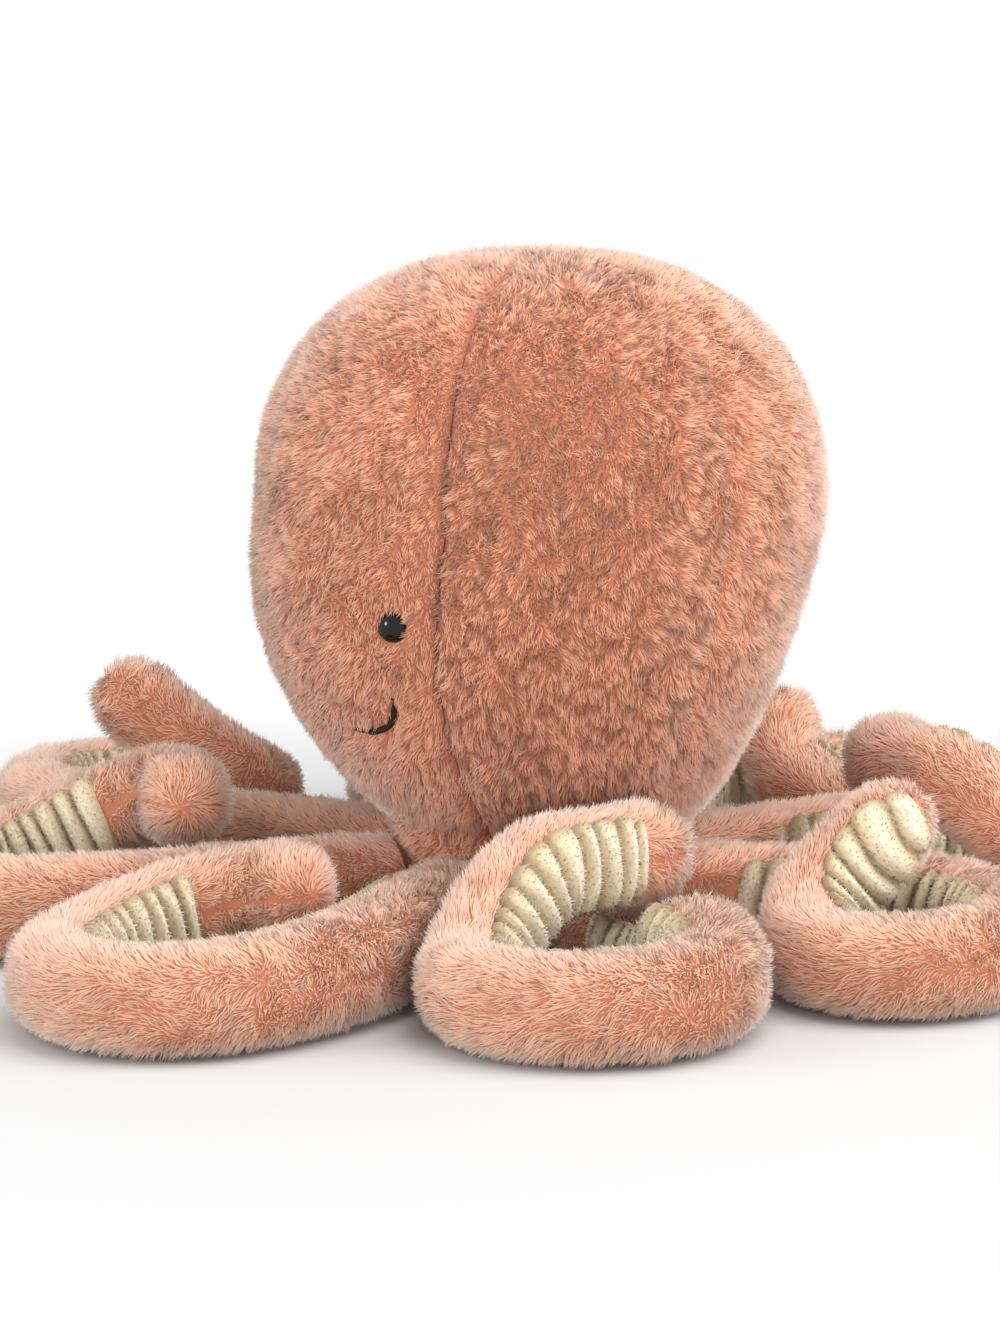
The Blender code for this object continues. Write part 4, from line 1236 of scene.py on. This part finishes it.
def add_eye(side):
    """A polished dome with a short cone behind it that sinks into the cloth."""
    front, way = EYES[side]
    front = front - way * BEAD_SINK
    across = unit(np.cross(way, (0, 0, 1)))
    upward = np.cross(across, way)
    turn = np.linspace(0, math.pi / 2, 20)[1:]
    rings = [(math.sin(t) * EYE_RADIUS, -BEAD_DOME * (1 - math.cos(t))) for t in turn]
    rings += [(EYE_RADIUS * share, back) for share, back in BEAD_BACK]
    spin = np.linspace(0, 2 * math.pi, BEAD_SPOKES + 1)[:-1]
    points = [front]
    for radius, back in rings:
        spokes = [across * math.cos(a) + upward * math.sin(a) for a in spin]
        points += [front + way * back + spoke * radius for spoke in spokes]
    points.append(front - way * BEAD_END)
    even = np.full(len(points), 0.5)
    faces = turned_faces(len(rings), BEAD_SPOKES)
    bead = mesh_piece("eye_bead_" + side, np.array(points), faces, even, even, BEAD)
    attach(bead, "head")
    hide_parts("eye_" + side)


for side in EYES:
    add_eye(side)
print("Eyes made")

# %% Smile
THREAD = make_pile(
    "brown_thread", (0.010, 0.005, 0.004), (0.022, 0.010, 0.007), (0.030, 0.014, 0.010),
    contrast=0.3, sheen=0.0, sheen_tint=(1, 0.9, 0.8),
)
THREAD_POINTS, THREAD_SIDES = 260, 10
STITCH_PITCH = 0.0011


def add_smile():
    """A thick satin stitch at both corners of the mouth, thin in the middle and at its ends."""
    count, sides = THREAD_POINTS, THREAD_SIDES
    share = np.linspace(-1, 1, count)
    depth = CLOTH_DEPTH - 0.0014 * ease(share / 0.35) - 0.0008 * ease(-share / 0.7)
    line, out = smile_line(count, depth)
    wide = 0.0007 + 0.0007 * ease(np.abs(share) / 0.28)
    wide *= 0.35 + 0.65 * ease((1 - np.abs(share)) / 0.16)
    steps = np.concatenate([[0], np.cumsum(np.linalg.norm(np.diff(line, axis=0), axis=1))])
    stitches = np.sin(steps / STITCH_PITCH * 2 * math.pi)
    wide = wide * (1 + 0.03 * stitches)
    along = unit(np.gradient(line, axis=0))
    side = unit(np.cross(along, out))
    rings = []
    for turn in np.linspace(0, 2 * math.pi, sides, endpoint=False):
        rings.append(line + (side * math.cos(turn) + out * math.sin(turn) * 0.8) * wide[:, None])
    points = np.stack(rings, axis=1).reshape(-1, 3)
    ends = np.arange(sides)
    last = (count - 1) * sides
    faces = [grid_quads(count, sides, True)[:, ::-1], ends[None, :], ends[None, ::-1] + last]
    # The tint follows the stitches: painted light on each stitch and painted shade between them.
    tint = np.repeat(0.5 + 0.15 * stitches, sides)
    thread = mesh_piece("smile_stitches", points, faces, tint, np.full(len(points), 0.6), THREAD)
    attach(thread, "head")
    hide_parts("smile_thread")
    return round(steps[-1] * 1000)


print("Smile:", add_smile(), "mm of thread")


# %% Underside
DISC_SPOKES = 96
DISC_BOTTOM, DISC_TOP = 0.0008, 0.0050
DISC_RINGS = (
    (0.030, DISC_BOTTOM), (0.050, DISC_BOTTOM), (0.0568, 0.0012), (0.0575, 0.0028),
    (0.0566, 0.0046), (0.030, DISC_TOP),
)


def add_underside():
    """A flat round of cloth with a soft edge that closes the head from below."""
    spin = np.linspace(0, 2 * math.pi, DISC_SPOKES + 1)[:-1]
    points = [(0.0, 0.0, DISC_BOTTOM)]
    for radius, height in DISC_RINGS:
        points += [(radius * math.sin(a), -radius * math.cos(a), height) for a in spin]
    points.append((0.0, 0.0, DISC_TOP))
    # The disc takes a low height on the backing, which is painted shade.
    tints = np.full(len(points), 0.5)
    faces = turned_faces(len(DISC_RINGS), DISC_SPOKES)
    disc = mesh_piece("underside_cloth", np.array(points), faces, tints, tints * 0 + 0.4, BACKING_PAINTED_SHADE)
    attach(disc, "head")
    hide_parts("base_panel")


add_underside()
print("Underside made")

# %% [markdown]
# ## Room, light and floor
#
# The photograph has a white ground with only a breath of shadow. The world is plain white to the
# camera, and the floor keeps the toy's shadow and turns into that white further out. Four wide
# soft lights give the fur its form: a large one high on the right, one low from each side, and one
# low in front. A fifth, small one is the only light that the polished beads mirror.

# %% Floor and lights
FLOOR_SHADE = 0.59
FLOOR_SIDE = 6.0
FADE_STARTS, FADE_ENDS = 0.30, 0.52
ROOM_STRENGTH = 0.66
AIM_HEIGHT = 0.1


def make_floor():
    """A pale floor that keeps its shadow near the toy and turns into plain white further out."""
    material = bpy.data.materials.new("white_floor")
    material.use_nodes = True
    tree = material.node_tree
    shader = tree.nodes["Principled BSDF"]
    shader.inputs["Base Color"].default_value = (FLOOR_SHADE, FLOOR_SHADE, FLOOR_SHADE, 1)
    shader.inputs["Roughness"].default_value = 0.9
    shader.inputs["Specular IOR Level"].default_value = 0.1
    plain = tree.nodes.new("ShaderNodeEmission")
    plain.inputs["Color"].default_value = (1, 1, 1, 1)
    place = tree.nodes.new("ShaderNodeTexCoord")
    distance = tree.nodes.new("ShaderNodeVectorMath")
    distance.operation = "LENGTH"
    link(tree, place.outputs["Object"], distance.inputs[0])
    fade = tree.nodes.new("ShaderNodeMapRange")
    fade.interpolation_type = "SMOOTHSTEP"
    fade.inputs["From Min"].default_value = FADE_STARTS
    fade.inputs["From Max"].default_value = FADE_ENDS
    link(tree, distance.outputs["Value"], fade.inputs["Value"])
    mix = tree.nodes.new("ShaderNodeMixShader")
    link(tree, fade.outputs["Result"], mix.inputs["Fac"])
    link(tree, shader.outputs["BSDF"], mix.inputs[1])
    link(tree, plain.outputs[0], mix.inputs[2])
    link(tree, mix.outputs[0], tree.nodes["Material Output"].inputs["Surface"])
    side, even = FLOOR_SIDE, np.full(4, 0.5)
    points = np.array([(-side, -side, 0), (side, -side, 0), (side, side, 0), (-side, side, 0)])
    mesh_piece("floor", points, [np.array([[0, 1, 2, 3]])], even, even, material)


def add_light(name, angle, rise, distance, size, power, mirrored=False):
    """A square soft light aimed at the toy; only a mirrored one shows in the beads."""
    data = bpy.data.lights.new(name, "AREA")
    data.energy = power
    data.size = size
    light = bpy.data.objects.new(name, data)
    light.visible_glossy = mirrored
    place = direction(angle, rise) * distance
    light.location = place + Vector((0, 0, AIM_HEIGHT))
    light.rotation_euler = (-place).to_track_quat("-Z", "Y").to_euler()
    bpy.context.collection.objects.link(light)


def make_world():
    """A room that lights the toy evenly and is plain white wherever it is seen or mirrored."""
    world = bpy.data.worlds.new("white_room")
    bpy.context.scene.world = world
    world.use_nodes = True
    tree = world.node_tree
    ground = tree.nodes["Background"]
    ground.inputs["Color"].default_value = (1, 1, 1, 1)
    ground.inputs["Strength"].default_value = ROOM_STRENGTH
    seen = tree.nodes.new("ShaderNodeBackground")
    seen.inputs["Color"].default_value = (1, 1, 1, 1)
    seen.inputs["Strength"].default_value = 1.0
    ray = tree.nodes.new("ShaderNodeLightPath")
    either = tree.nodes.new("ShaderNodeMath")
    either.operation = "MAXIMUM"
    third = tree.nodes.new("ShaderNodeMath")
    third.operation = "MAXIMUM"
    link(tree, ray.outputs["Is Camera Ray"], either.inputs[0])
    link(tree, ray.outputs["Is Glossy Ray"], either.inputs[1])
    link(tree, either.outputs[0], third.inputs[0])
    link(tree, ray.outputs["Is Transmission Ray"], third.inputs[1])
    mix = tree.nodes.new("ShaderNodeMixShader")
    link(tree, third.outputs[0], mix.inputs["Fac"])
    link(tree, ground.outputs[0], mix.inputs[1])
    link(tree, seen.outputs[0], mix.inputs[2])
    link(tree, mix.outputs[0], tree.nodes["World Output"].inputs["Surface"])


make_floor()
make_world()
add_light("top", CAMERA_ANGLE + 50, 66, 1.9, 1.6, 27)
add_light("left", CAMERA_ANGLE - 75, 30, 1.9, 1.4, 8)
add_light("right", CAMERA_ANGLE + 80, 28, 1.9, 1.4, 16)
add_light("front", CAMERA_ANGLE + 12, 3, 1.8, 0.8, 14)
add_light("spark", CAMERA_ANGLE - 62, 14, 1.9, 0.38, 8, mirrored=True)
bpy.context.scene.view_settings.view_transform = "Standard"
print("Room ready")
